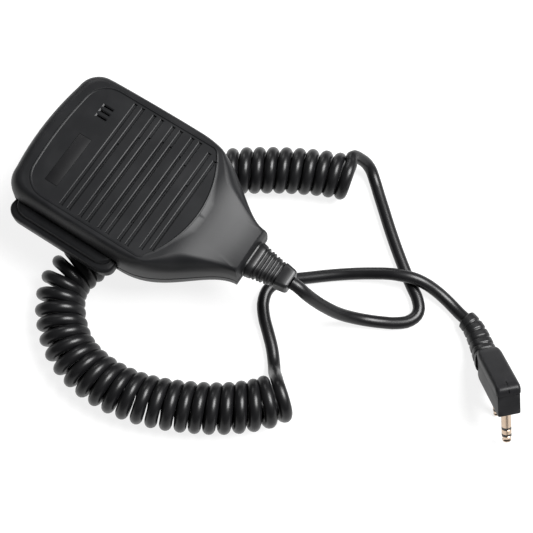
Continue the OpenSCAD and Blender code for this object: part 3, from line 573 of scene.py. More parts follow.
# ---------------------------------------------------------------- shapes that several pieces use
def ease(t: float) -> float:
    """Smooth step from 0 to 1."""
    c = min(1.0, max(0.0, t))
    return c * c * (3 - 2 * c)


def blend(a: float, b: float, t: float) -> float:
    """The value a share t of the way from a to b."""
    return a + (b - a) * t


def rounded(width: float, height: float, radius: float, per_corner: int = 6, per_side: int = 4,
            low_radius: float | None = None) -> list[tuple[float, float]]:
    """A rectangle with round corners, counter-clockwise from the right side.

    Args:
        width: Its width.
        height: Its height.
        radius: Radius of its corners.
        per_corner: Steps round each corner.
        per_side: Steps along each straight side.
        low_radius: Radius of the two lower corners, where it differs.

    Returns:
        Its points.
    """
    low = radius if low_radius is None else low_radius
    corners = [(1, 1, radius, 0), (-1, 1, radius, 90), (-1, -1, low, 180), (1, -1, low, 270)]
    points: list[tuple[float, float]] = []
    for sx, sy, r, start in corners:
        cx, cy = sx * (width / 2 - r), sy * (height / 2 - r)
        arc = [(cx + r * math.cos(math.radians(start + 90 * k / per_corner)),
                cy + r * math.sin(math.radians(start + 90 * k / per_corner))) for k in range(per_corner + 1)]
        if points:
            points += [tuple(blend(points[-1][i], arc[0][i], k / per_side) for i in (0, 1))
                       for k in range(1, per_side)]
        points += arc
    last, first = points[-1], points[0]
    points += [tuple(blend(last[i], first[i], k / per_side) for i in (0, 1)) for k in range(1, per_side)]
    return points


def curve_through(points: Sequence[Point], per_span: int) -> list[Vector]:
    """A smooth curve through points.

    Args:
        points: Points that it passes through.
        per_span: Steps between two of them.

    Returns:
        Points along the curve.
    """
    given = [Vector(p) for p in points]
    padded = [2 * given[0] - given[1], *given, 2 * given[-1] - given[-2]]
    curve = []
    for i in range(1, len(padded) - 2):
        a, b, c, d = padded[i - 1:i + 3]
        for k in range(per_span):
            t = k / per_span
            curve.append(0.5 * (2 * b + (c - a) * t + (2 * a - 5 * b + 4 * c - d) * t * t
                                + (3 * b - a - 3 * c + d) * t ** 3))
    return [*curve, given[-1]]


def wire(name: str, points: Sequence[Point], radius: float, sides: int = 6, keep_curve: bool = False,
         resolution: int = 3) -> bpy.types.Object:
    """A round wire or cord along points.

    Args:
        name: Name of the piece.
        points: Points of its centre line.
        radius: Its radius.
        sides: Steps in a quarter of its round.
        keep_curve: Whether it stays a curve object.
        resolution: Steps between two points.

    Returns:
        The object.
    """
    clear_bench()
    data = bpy.data.curves.new(name, "CURVE")
    data.dimensions = "3D"
    data.bevel_depth = radius
    data.bevel_resolution = sides
    data.resolution_u = resolution
    data.use_fill_caps = True
    spline = data.splines.new("BEZIER")
    spline.bezier_points.add(len(points) - 1)
    for knot, point in zip(spline.bezier_points, points):
        knot.co = point
        knot.handle_left_type = "AUTO"
        knot.handle_right_type = "AUTO"
    piece = bpy.data.objects.new(name, data)
    bpy.context.collection.objects.link(piece)
    if not keep_curve:
        take_up(piece)
        bpy.ops.object.convert(target="MESH")
        piece = name_it(bpy.context.object, name)
        bpy.ops.object.mode_set(mode="EDIT")
        bpy.ops.mesh.select_all(action="SELECT")
        bpy.ops.mesh.remove_doubles(threshold=MERGE)
        bpy.ops.mesh.normals_make_consistent(inside=False)
        bpy.ops.object.mode_set(mode="OBJECT")
        shade(piece)
    return piece


# ---------------------------------------------------------------- the cord
@dataclass
class CurlyCord:
    """The cord: a stretch from the strain relief round a loop, the curl, and a stretch to the plug.

    Attributes:
        diameter: Diameter of the jacket.
        first_radius: Outer radius of the curl at the case's end.
        last_radius: Outer radius of the curl at the plug's end.
        pitch: Distance from turn to turn.
        per_turn: Points in a turn.
    """

    diameter: float = 4.5 * MM
    first_radius: float = 8.6 * MM
    last_radius: float = 9.2 * MM
    pitch: float = 4.86 * MM
    per_turn: int = 14

    FROM_CASE = [
        (0, -.089, .0279), (0, -.0915, .0274), (0, -.0945, .0254), (.0008, -.098, .021),
        (.0024, -.102, .0154), (.0046, -.1065, .0098), (.0072, -.111, .0058), (.0098, -.1156, .0034),
        (.0124, -.1204, .0024), (.0152, -.1252, .0023), (.0186, -.1286, .0023), (.0226, -.1294, .0023),
        (.0264, -.127, .0023), (.0296, -.1228, .0023), (.033, -.1182, .0023), (.0368, -.1134, .0023),
        (.041, -.1084, .0023), (.0454, -.1034, .0023), (.05, -.0984, .0023), (.0542, -.0938, .0023),
        (.058, -.0896, .0027), (.0606, -.0856, .005), (.06, -.0816, .0094), (.0572, -.0792, .0136),
    ]
    CURL_AXIS = [
        (.0517, -.0825), (.0496, -.077), (.0474, -.072), (.045, -.0674), (.0426, -.063),
        (.04, -.0586), (.0372, -.0542), (.0342, -.0498), (.031, -.0454), (.0264, -.0402),
        (.02, -.036), (.013, -.0332), (.005, -.031), (-.004, -.0284), (-.013, -.0254),
        (-.022, -.0218), (-.0306, -.0188), (-.0384, -.018), (-.045, -.0204), (-.0506, -.0248),
        (-.0554, -.0302), (-.059, -.037), (-.0608, -.0452), (-.0608, -.0542), (-.0592, -.0634),
        (-.056, -.0726), (-.0516, -.0816), (-.0468, -.0898), (-.0418, -.0964), (-.0366, -.1018),
        (-.0308, -.1058),
    ]
    TO_PLUG = [
        (-.028, -.1018, .0141), (-.0266, -.0999, .0092), (-.0248, -.0982, .0048), (-.022, -.0962, .0026),
        (-.0174, -.0924, .0023), (-.013, -.0878, .0023), (-.0084, -.083, .0023), (-.0034, -.0798, .0023),
        (.0016, -.0792, .0023), (.0058, -.0814, .0023), (.0092, -.0852, .0023), (.0128, -.0896, .0023),
        (.0166, -.0942, .0023), (.0202, -.099, .0026), (.0234, -.104, .0036), (.026, -.1088, .005),
        (.0282, -.1132, .0062), (.0298, -.1174, .007), (.0312, -.1214, .0071), (.0322, -.1258, .006),
        (.0326, -.1304, .0042), (.0322, -.135, .0029), (.0312, -.1392, .0025), (.0302, -.1424, .0028),
        (.0294, -.1452, .0034),
    ]
    FIRST_ANGLE = 62.0
    LAST_ANGLE = 112.0

    def helix(self) -> list[Vector]:
        """Points of the curl, from its first strand to its last."""
        line = curve_through([(x, y, 0.0) for x, y in self.CURL_AXIS], 12)
        runs = [0.0]
        for a, b in zip(line, line[1:]):
            runs.append(runs[-1] + (b - a).length)
        turns = round(runs[-1] / self.pitch - (self.LAST_ANGLE - self.FIRST_ANGLE) / 360)
        sweep = turns * 360 + self.LAST_ANGLE - self.FIRST_ANGLE
        steps = round(sweep * self.per_turn / 360)
        points, place = [], 0
        for k in range(steps + 1):
            run = runs[-1] * (0.004 + 0.992 * k / steps)
            while runs[place + 1] < run:
                place += 1
            share = (run - runs[place]) / (runs[place + 1] - runs[place])
            centre = line[place].lerp(line[place + 1], share)
            ahead = (line[min(place + 2, len(line) - 1)] - line[max(place - 1, 0)]).normalized()
            outer = blend(self.first_radius, self.last_radius, run / runs[-1])
            radius = outer - self.diameter / 2
            angle = math.radians(self.FIRST_ANGLE + sweep * k / steps)
            side = Vector((ahead.y, -ahead.x, 0.0))
            points.append(centre + Vector((0, 0, outer + 0.1 * MM))
                          + radius * (math.cos(angle) * side + math.sin(angle) * Vector((0, 0, 1))))
        return points

    def build(self) -> bpy.types.Object:
        """Lays the whole cord as one curve and gives it its jacket.

        Returns:
            The cord.
        """
        route = [Vector(p) for p in self.FROM_CASE] + self.helix() + [Vector(p) for p in self.TO_PLUG[1:]]
        piece = wire("curly_cord", route, self.diameter / 2, sides=6, keep_curve=True, resolution=3)
        self.length = sum((b - a).length for a, b in zip(route, route[1:]))
        JACKET.dress(piece)
        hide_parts("cord_lead_mic", "cord_curl", "cord_lead_plug")
        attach(piece, "case")
        return piece


# ---------------------------------------------------------------- the case
BAR_BASE = 25.0 * MM        # underside of the talk bar
BAR_HEIGHT = 7.0 * MM
HOOK_REACH = 1.6 * MM       # how far the talk bar's hook goes past its free end


@dataclass
class CaseShells:
    """The two shells of the case, with the inset panel, its grooves and all openings.

    Attributes:
        half_w: Half the case's width.
        wide_y: End of the wide side.
        neck_y: End of the neck.
        neck_half: Half the neck's width.
        taper: Length of the shoulder.
        corner: Radius of the corners.
        bow: Rise of the bowed end.
        split_z: Height of the joint between the shells.
        face_z: Height of the front.
        back_z: Height of the back.
        neck_drop: Drop of the front at the neck.
        neck_rise: Rise of the back at the neck.
        wall: Wall thickness.
        land: How far the face lies below the bead round the panel.
        panel_half: Half the panel's width.
        panel_top: Its end towards the wide side.
        panel_foot: Lowest point of its arc.
        panel_arc: Radius of that arc.
        panel_corner: Radius of its corners.
        panel_z: Height of the panel's floor.
        first_groove: Place of the first groove.
        pair_pitch: Distance between groove pairs.
        pair_gap: Distance between the grooves of a pair.
        groove_half: Half length of the long grooves.
        groove_w: Width of a groove.
        groove_depth: Depth of a groove.
        bead: Width of the bead round the panel.
        bead_room: Room kept for the bead inside the shoulder's rounding.
        crisp: Width of the shoulder's rounding at the neck's end.
        full_round: Width of that rounding everywhere else on the front.
        rear_round: Its width on the rear shell.
        fade: Length over which it grows from one to the other.
        fit: Gap round a piece that sits in an opening.
        speaker_field: Radius of the field whose grooves are slotted through.
        flap_y: Place of the earphone socket's flap.
        relief_rise: How far the strain relief's axis lies above the split.
        screws: Places of the case screws, in millimetres.
        field_y: Middle of the blank recessed field on the back.
    """

    half_w: float = 27.6 * MM
    wide_y: float = 15.0 * MM
    neck_y: float = -73.0 * MM
    neck_half: float = 9.7 * MM
    taper: float = 39.0 * MM
    corner: float = 9.0 * MM
    bow: float = 1.6 * MM
    split_z: float = 27.0 * MM
    face_z: float = 40.0 * MM
    back_z: float = 18.6 * MM
    neck_drop: float = 4.0 * MM
    neck_rise: float = 2.0 * MM
    wall: float = 1.6 * MM
    land: float = 0.22 * MM
    panel_half: float = 23.3 * MM
    panel_top: float = 7.0 * MM
    panel_foot: float = -51.0 * MM
    panel_arc: float = 38.0 * MM
    panel_corner: float = 9.0 * MM
    panel_z: float = 39.7 * MM
    first_groove: float = -10.0 * MM
    pair_pitch: float = 8.0 * MM
    pair_gap: float = 3.2 * MM
    groove_half: float = 22.3 * MM
    groove_w: float = 0.9 * MM
    groove_depth: float = 0.8 * MM
    bead: float = 0.78 * MM
    bead_room: float = 0.9 * MM
    crisp: float = 0.9 * MM
    full_round: float = 4.9 * MM
    rear_round: float = 3.4 * MM
    fade: float = 16.0 * MM
    fit: float = 0.35 * MM
    speaker_field: float = 16.0 * MM
    flap_y: float = -8.0 * MM
    relief_rise: float = 0.9 * MM
    screws: tuple[tuple[float, float], ...] = ((18.4, 8.0), (-18.4, 8.0), (18.6, -40.6), (-18.6, -40.6))
    field_y: float = -58.0 * MM

    HUB = Vector((0.0, -22.0 * MM, 0.0))

    def half_at(self, y: float) -> float:
        """Half the case's width at a place along it."""
        t = max(0.0, (self.neck_y + self.taper - y) / self.taper)
        return self.neck_half + (self.half_w - self.neck_half) * (1 - ease(t ** 1.3))

    def slope(self, y: float) -> float:
        """Share of the neck's slope at a place along the case."""
        start = self.neck_y + self.taper * 0.6
        return ease((start - y) / (start - self.neck_y))

    def front_at(self, x: float, y: float) -> float:
        """Height of the land of the front face, with its crown over the shoulder."""
        crown = 0.9 * MM * ease((self.panel_foot + 8 * MM - y) / (24 * MM)) * (x / self.half_at(y)) ** 2
        return self.face_z - self.land - self.neck_drop * self.slope(y) - crown

    def back_at(self, y: float) -> float:
        """Height of the back."""
        return self.back_z + self.neck_rise * self.slope(y)

    def front_over(self, point: Vector) -> float:
        """Height of the front face over a point."""
        return self.front_at(point.x, point.y)

    def back_over(self, point: Vector) -> float:
        """Height of the back over a point."""
        return self.back_at(point.y)

    def outline(self) -> list[Vector]:
        """Outline of the case, counter-clockwise from the middle of the neck's end."""
        right = [Vector((self.neck_half * k / 4, self.neck_y, 0)) for k in range(4)]
        right += [Vector((self.half_at(y), y, 0)) for y in
                  (self.neck_y + self.taper * k / 26 for k in range(27))]
        corner_y = self.wide_y - self.bow - self.corner
        start_y = self.neck_y + self.taper
        right += [Vector((self.half_w, blend(start_y, corner_y, k / 14), 0)) for k in range(1, 14)]
        right += [Vector((self.half_w - self.corner * (1 - math.cos(a)),
                          corner_y + self.corner * math.sin(a), 0))
                  for a in (math.radians(90 * k / 14) for k in range(15))]
        reach = self.half_w - self.corner
        right += [Vector((reach * (1 - k / 7), self.wide_y - self.bow * (1 - k / 7) ** 2, 0))
                  for k in range(1, 7)]
        left = [Vector((-p.x, p.y, 0)) for p in reversed(right[1:])]
        return [*right, Vector((0, self.wide_y, 0)), *left]

    def panel_outline(self) -> list[Vector]:
        """Outline of the inset panel, counter-clockwise from the foot of its arc."""
        arc = [Vector((x, self.panel_foot + self.panel_arc - math.sqrt(self.panel_arc ** 2 - x * x), 0))
               for x in (self.panel_half * k / 20 for k in range(21))]
        corner_y = self.panel_top - 0.8 * MM - self.panel_corner
        arc += [Vector((self.panel_half - self.panel_corner * (1 - math.cos(a)),
                        corner_y + self.panel_corner * math.sin(a), 0))
                for a in (math.radians(90 * k / 16) for k in range(17))]
        arc += [Vector(((self.panel_half - self.panel_corner) * (1 - k / 6), self.panel_top
                        - 0.8 * MM * (1 - k / 6) ** 2, 0)) for k in range(1, 7)]
        return [*arc, *[Vector((-p.x, p.y, 0)) for p in reversed(arc[1:-1])]]

    def shoulder(self, point: Vector, full: float) -> float:
        """Width of the round shoulder at a point, which fades to a crisp edge towards the neck's end."""
        t = min(1.0, (point.y - self.neck_y) / self.fade)
        return min(full, blend(self.crisp, self.full_round, t ** 1.8))

    def seen_from_hub(self, point: Vector, loop: Sequence[Vector]) -> Vector:
        """Where the ray from the hub through a point meets a loop."""
        ray = (point - self.HUB).normalized()
        for a, b in zip(loop, [*loop[1:], loop[0]]):
            side = b - a
            cross = ray.x * side.y - ray.y * side.x
            if abs(cross) < 1e-12:
                continue
            gap = a - self.HUB
            far = (gap.x * side.y - gap.y * side.x) / cross
            share = (gap.x * ray.y - gap.y * ray.x) / cross
            if far > 0 and -1e-6 <= share <= 1 + 1e-6:
                return self.HUB + ray * far
        return point

    def inset(self, loop: Sequence[Vector], widths: Sequence[float]) -> list[Vector]:
        """Each point of a loop moved inwards by its own width."""
        moved = []
        for i, point in enumerate(loop):
            before = (point - loop[i - 1]).normalized()
            after = (loop[(i + 1) % len(loop)] - point).normalized()
            along = (before + after).normalized()
            moved.append(point + Vector((-along.y, along.x, 0)) * widths[i] / max(0.6, along.dot(before)))
        return moved

    def shell_rings(self, rim: Sequence[Vector], widths: Sequence[float],
                    steps: Sequence[tuple[float, float]],
                    height: Callable[[Vector], float]) -> list[list[Vector]]:
        """Rings up a shell's side.

        Args:
            rim: Outline of the shell.
            widths: Width of the round shoulder at each point.
            steps: (share of the height, share of the shoulder's width) of each ring.
            height: Height of the face above a point.

        Returns:
            The rings.
        """
        rings = []
        for level, share in steps:
            ring = self.inset(rim, [0.25 * MM * min(1.0, share * 8) + width * share for width in widths])
            rings.append([Vector((p.x, p.y, blend(self.split_z, height(p), level))) for p in ring])
        return rings

    def hollow(self, rim: Sequence[Vector], widths: Sequence[float], height: Callable[[Vector], float],
               facing: int, last: Sequence[Vector]) -> bpy.types.Object:
        """Cutter of a shell's inside, a wall smaller than the shell and open past the split.

        Args:
            rim: Outline of the shell.
            widths: Width of the round shoulder at each point.
            height: Height of the outer face above a point.
            facing: 1 for the front shell, -1 for the rear shell.
            last: The row where the flat middle starts.

        Returns:
            The cutter.
        """
        inner = self.inset(rim, [self.wall] * len(rim))
        inner = [Vector((p.x, max(p.y, self.neck_y + self.wall), 0)) for p in inner]
        widths = [max(0.0, width - self.wall) for width in widths]
        rings = [[Vector((p.x, p.y, self.split_z - facing * MM)) for p in inner]]
        for level, share in ((0.35, 0.0), (0.7, 0.06), (0.88, 0.3), (0.97, 0.65), (1.0, 1.0)):
            ring = self.inset(inner, [width * share for width in widths])
            rings.append([Vector((p.x, p.y, blend(self.split_z, height(p) - facing * self.wall, level)))
                          for p in ring])
        for share in (0.35, 0.7, 1.0):
            row = [p.lerp(q, share) for p, q in zip(rings[5], last)]
            rings.append([Vector((p.x, p.y, height(p) - facing * self.wall)) for p in row])
        return Loft("hollow", rings[0]).cap_first().through(rings[1:]).cap().done()

    def groove_cutters(self) -> list[bpy.types.Object]:
        """Cutters of the ten grooves, with flared lips, and of the slots in them over the loudspeaker."""
        speaker_y = self.first_groove - 2 * self.pair_pitch - self.pair_gap / 2
        floor = self.panel_z - self.groove_depth
        lip = [(0.42, 0.0), (0.42, 0.62), (0.54, 0.78), (0.74, 0.9), (1.12, 1.02), (1.12, 1.6)]
        profile = [(-a, b) for a, b in lip] + lip[::-1]
        shorter, slot_half, shortest_slot = 1.6 * MM, 0.36 * MM, 4 * MM
        tools = []
        for i in range(10):
            y = self.first_groove - (i // 2) * self.pair_pitch - (i % 2) * self.pair_gap
            half = self.groove_half - shorter * max(0, i - 7)       # the last ones are shorter

            def ring(x: float, grow: float) -> list[Vector]:
                """The groove's section at a place along it."""
                return [Vector((x, y + (a + math.copysign(grow, a)) * self.groove_w,
                                floor + b * self.groove_depth)) for a, b in profile]

            groove = Loft(f"groove_{i}", ring(-half - 0.2 * MM, -0.28)).cap_first()
            groove.through([ring(-half + 0.15 * MM, 0.0), ring(half - 0.15 * MM, 0.0),
                            ring(half + 0.2 * MM, -0.28)])
            tools.append(groove.cap().done())
            chord = self.speaker_field ** 2 - (y - speaker_y) ** 2
            if chord > shortest_slot ** 2:
                reach = math.sqrt(chord)
                tools.append(block(f"slot_{i}", (-reach, y - slot_half, floor - 3 * MM),
                                   (reach, y + slot_half, floor + 0.3 * MM)))
        return tools

    def front(self) -> bpy.types.Object:
        """The front shell, with its inset panel, bead, grooves, ports, label bed and openings."""
        rim = self.outline()
        panel = self.panel_outline()
        feet = [self.seen_from_hub(p, panel) for p in rim]
        widths = [self.shoulder(p, min(self.full_round, ((p - q).length - self.bead_room) * 0.66))
                  for p, q in zip(rim, feet)]
        quarter = [math.radians(15 * k) for k in range(1, 7)]
        steps = [(0.0, 0.10), (0.03, 0.0), (0.2, 0.01), (0.44, 0.03)]
        steps += [(0.44 + 0.56 * math.sin(a), 0.03 + 0.97 * (1 - math.cos(a))) for a in quarter]
        rings = self.shell_rings(rim, widths, steps, self.front_over)
        loft = Loft("front_shell", rings[0]).cap_first().through(rings[1:])
        bead_foot = self.inset(feet, [-self.bead] * len(feet))
        for share in (0.12, 0.3, 0.5, 0.7, 0.87, 1.0):
            row = [a.lerp(b, share) for a, b in zip(rings[-1], bead_foot)]
            loft.to([Vector((p.x, p.y, self.front_over(p))) for p in row])
        drop = min(0.0, self.front_at(0, self.panel_foot) - self.face_z + self.land)
        top, floor = self.face_z - 0.01 * MM + drop, self.panel_z + drop
        for offset, z in ((0.85, blend(top - self.land, top, 0.2)), (0.6, blend(top - self.land, top, 0.75)),
                          (0.42, top), (0.22, top), (0.05, blend(top, floor, 0.35)),
                          (-0.12, floor + 0.05 * MM), (-0.3, floor)):
            row = self.inset(feet, [-offset * self.bead] * len(feet))
            loft.to([Vector((p.x, p.y, z)) for p in row])
        shell = loft.cap().done(30)
        tools = [self.hollow(rim, widths, self.front_over, 1, feet), *self.groove_cutters(),
                 *self.port_cutters(), *self.shared_cutters()]
        label_low, label_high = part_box("label_plate")
        tools.append(block("label_bed", label_low - Vector((0.08, 0.08, 0)) * MM,
                           label_high + Vector((0.08 * MM, 0.08 * MM, 1 * MM))))
        combine(shell, tools, "DIFFERENCE")
        shade(shell, 30)
        self.crisp_panel(shell, floor)
        CASE_BLACK.dress(shell)
        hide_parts("front_case")
        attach(shell, "case")
        return shell

    def port_cutters(self) -> list[bpy.types.Object]:
        """Cutters of the three microphone ports, each with a flared lip."""
        middle = Vector((self.half_w - 13.8 * MM, self.first_groove + 7.3 * MM, 0))
        half_w, half_l, apart = 0.3 * MM, 1.9 * MM, 2.15 * MM
        lip = ((0.31, 1.91, -0.3), (0.55, 2.2, -0.12), (0.85, 2.55, 0.01), (0.85, 2.55, 1))
        tools = []
        for k in (-1, 0, 1):
            x = middle.x + k * apart
            tools.append(block("port", (x - half_w, middle.y - half_l, self.panel_z - 3 * MM),
                               (x + half_w, middle.y + half_l, self.panel_z + 1 * MM)))
            flare = [[(x + a * wide * MM, middle.y + b * long * MM, self.panel_z + z * MM)
                      for a, b in ((1, -1), (1, 1), (-1, 1), (-1, -1))] for wide, long, z in lip]
            tools.append(Loft("port_lip", flare[0]).cap_first().through(flare[1:]).cap().done())
        return tools

    def crisp_panel(self, shell: bpy.types.Object, level: float) -> None:
        """Marks the border of the panel's flat floor as sharp, so that it is shaded as flat as it is."""
        take_up(shell)
        bpy.ops.object.mode_set(mode="EDIT")
        bpy.ops.mesh.select_mode(type="FACE")
        bpy.ops.mesh.select_all(action="DESELECT")
        mesh = bmesh.from_edit_mesh(shell.data)
        for face in mesh.faces:
            face.select_set(all(abs(vertex.co.z - level) < 0.002 * MM for vertex in face.verts))
        bmesh.update_edit_mesh(shell.data)
        bpy.ops.mesh.region_to_loop()
        bpy.ops.mesh.mark_sharp()
        bpy.ops.object.mode_set(mode="OBJECT")

    def shared_cutters(self) -> list[bpy.types.Object]:
        """Cutters of the openings that both shells share: talk bar, earphone socket and neck."""
        bar_low, bar_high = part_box("ptt_button")
        slot = block("bar_slot",
                     (-self.half_w - 5 * MM, bar_low.y + HOOK_REACH - self.fit, BAR_BASE - self.fit),
                     (-self.half_w + 2.8 * MM, bar_high.y + self.fit, BAR_BASE + BAR_HEIGHT + self.fit))
        flap_low, flap_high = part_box("jack_cover")
        middle = Vector((0, self.flap_y, (flap_low.z + flap_high.z) / 2))
        outer, inner = Vector((self.half_w + 3 * MM, 0, 0)), Vector((self.half_w - 5 * MM, 0, 0))
        bore = cylinder("socket_bore", 3.2 * MM, middle + inner, middle + outer)
        bed_floor = Vector((self.half_w - 1.15 * MM, 0, 0))
        bed = cylinder("flap_bed", 4.75 * MM, middle + bed_floor, middle + outer, 48)
        relief_z = self.split_z + self.relief_rise
        throat_x, throat_z = 5.1 * MM, 3.3 * MM
        throat = block("neck_bore", (-throat_x, self.neck_y - 1 * MM, relief_z - throat_z),
                       (throat_x, self.neck_y + 3 * MM, relief_z + throat_z))
        return [slot, bore, bed, throat]

    def rear(self) -> bpy.types.Object:
        """The rear shell, with the clip's pad, the screw holes and a blank recessed field."""
        rim = self.outline()
        widths = [self.shoulder(p, self.rear_round) for p in rim]
        quarter = [math.radians(18 * k) for k in range(1, 6)]
        steps = [(0.0, 0.10), (0.05, 0.0), (0.4, 0.02)]
        steps += [(0.4 + 0.6 * math.sin(a), 0.02 + 0.98 * (1 - math.cos(a))) for a in quarter]
        rings = self.shell_rings(rim, widths, steps, self.back_over)
        parting_gap = Vector((0, 0, 0.04 * MM))
        rings[0] = [p - parting_gap for p in rings[0]]
        loft = Loft("rear_shell", rings[0]).cap_first().through(rings[1:])
        heart = Vector((0, -20 * MM, 0))
        core = [Vector((p.x * 0.1, heart.y + (p.y - heart.y) * 0.1, 0)) for p in rings[-1]]
        for share in (0.3, 0.6, 0.85):
            row = [p.lerp(q, share) for p, q in zip(rings[-1], core)]
            loft.to([Vector((p.x, p.y, self.back_over(p))) for p in row])
        shell = loft.cap().done(30)
        hub = cylinder("hub", 8 * MM, (0, 0, self.back_z - 1 * MM), (0, 0, self.back_z + 1 * MM), 64)
        round_edges(hub, 0.3 * MM, 3)
        combine(shell, [hub], "UNION")
        hollow_core = [p.lerp(q, 0.8) for p, q in zip(rings[-1], core)]
        tools = [self.hollow(rim, widths, self.back_over, -1, hollow_core), *self.shared_cutters()]
        tools.append(cylinder("stud_bore", 3.02 * MM, (0, 0, self.back_z - 3 * MM),
                              (0, 0, self.back_z + 3 * MM)))
        for x, y in self.screws:
            foot = Vector((x * MM, y * MM, self.back_z - 1 * MM))
            tools.append(cylinder("screw_hole", 2.4 * MM, foot, foot + Vector((0, 0, 3 * MM)), 40))
        plan = [(x * MM, self.field_y + y * MM) for x, y in rounded(17, 12, 1.5)]
        field = Loft("blank_field", [(x, y, self.back_z - 1 * MM) for x, y in plan]).cap_first()
        field.to([(x, y, self.back_at(self.field_y) + 0.35 * MM) for x, y in plan])
        tools.append(field.cap().done())
        combine(shell, tools, "DIFFERENCE")
        shade(shell, 30)
        CASE_BLACK.dress(shell)
        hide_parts("rear_case")
        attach(shell, "case")
        return shell

    def label(self) -> bpy.types.Object:
        """The blank label plate in its bed."""
        plate = softened("label_plate", 0.08 * MM, 2)
        LABEL_BLACK.dress(plate)
        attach(plate, "case")
        return plate

    def build(self) -> list[bpy.types.Object]:
        """Both shells and the label."""
        return [self.front(), self.rear(), self.label()]


# ---------------------------------------------------------------- talk bar, relief and clip
@dataclass
class TalkBar:
    """The talk bar on the case's side, hinged near its wide end.

    Attributes:
        out: How far it stands out of the case's side.
        case_half: Half the case's width.
        inner: Place of its inner face.
        pivot: Middle of its hinge.
        lug_radius: Radius of the lug round the hinge.
        bore_radius: Radius of the hinge's bore.
        sides: Steps round each of its corners.
    """

    out: float = 5.4 * MM
    case_half: float = 27.6 * MM
    inner: float = 25.3 * MM
    pivot: tuple[float, float, float] = (-23.4 * MM, 4.0 * MM, 28.5 * MM)
    lug_radius: float = 2.0 * MM
    bore_radius: float = 1.05 * MM
    sides: int = 8

    def outline(self, low_y: float, high_y: float, inset: float) -> list[tuple[float, float]]:
        """Outline of the bar from above, moved inwards on its free sides.

        Args:
            low_y: Its free end.
            high_y: Its hinged end.
            inset: How far the outline is moved inwards.

        Returns:
            Points, from the inner free corner round the outer side.
        """
        out_x, in_x = -self.case_half - self.out + inset, -self.inner
        free, hinged = low_y + inset, high_y - inset
        nose = [(out_x + 3.6 * MM * (1 - math.sin(a)), free + 4.6 * MM * (1 - math.cos(a)))
                for a in (math.radians(90 * k / self.sides) for k in range(self.sides + 1))]
        heel = [(out_x + 4.2 * MM * (1 - math.cos(a)), hinged - 5.4 * MM * (1 - math.sin(a)))
                for a in (math.radians(90 * k / self.sides) for k in range(self.sides + 1))]
        side = [(out_x, blend(nose[-1][1], heel[0][1], k / 10)) for k in range(1, 10)]
        return [(in_x, free + 0.2 * MM), *nose, *side, *heel, (in_x, hinged - 0.4 * MM)]

    def build(self) -> bpy.types.Object:
        """The bar with its stepped top, its hinge lug, switch finger and hook."""
        low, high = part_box("ptt_button")
        free_y, hinged_y = low.y + HOOK_REACH, high.y
        levels = [(0.0, 0.8), (0.25, 0.3), (0.7, 0.05), (3.6, 0.0), (4.5, 0.1), (5.0, 0.4), (5.2, 0.85),
                  (5.28, 1.5), (5.45, 1.85), (6.3, 2.05), (6.75, 2.3), (6.95, 2.75), (7.0, 3.3)]
        rings = [[(x, y, BAR_BASE + z * MM) for x, y in self.outline(free_y, hinged_y, inset * MM)]
                 for z, inset in levels]
        bar = Loft("talk_bar", rings[0]).cap_first().through(rings[1:]).cap().done(35)
        pivot, up = Vector(self.pivot), Vector((0, 0, 1))
        lug_half, bore_half = up * 2.5 * MM, up * 5 * MM
        lug = cylinder("lug", self.lug_radius, pivot - lug_half, pivot + lug_half, 40)
        root_x = -25.8 * MM
        web = block("web", (root_x, pivot.y - self.lug_radius, 26.0 * MM),
                    (pivot.x, pivot.y + self.lug_radius, 31.0 * MM))
        finger = block("finger", (root_x, -17.0 * MM, 27.15 * MM), (-22.7 * MM, -14.0 * MM, 30.15 * MM))
        hook = block("hook", (-25.5 * MM, low.y, 27.0 * MM), (-23.9 * MM, low.y + 4 * MM, 30.0 * MM))
        combine(bar, [lug, web, finger, hook], "UNION")
        bore = cylinder("bore", self.bore_radius, pivot - bore_half, pivot + bore_half, 32)
        combine(bar, [bore], "DIFFERENCE")
        shade(bar, 35)
        BAR_BLACK.dress(bar)
        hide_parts("ptt_button")
        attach(bar, "talk_bar")
        return bar


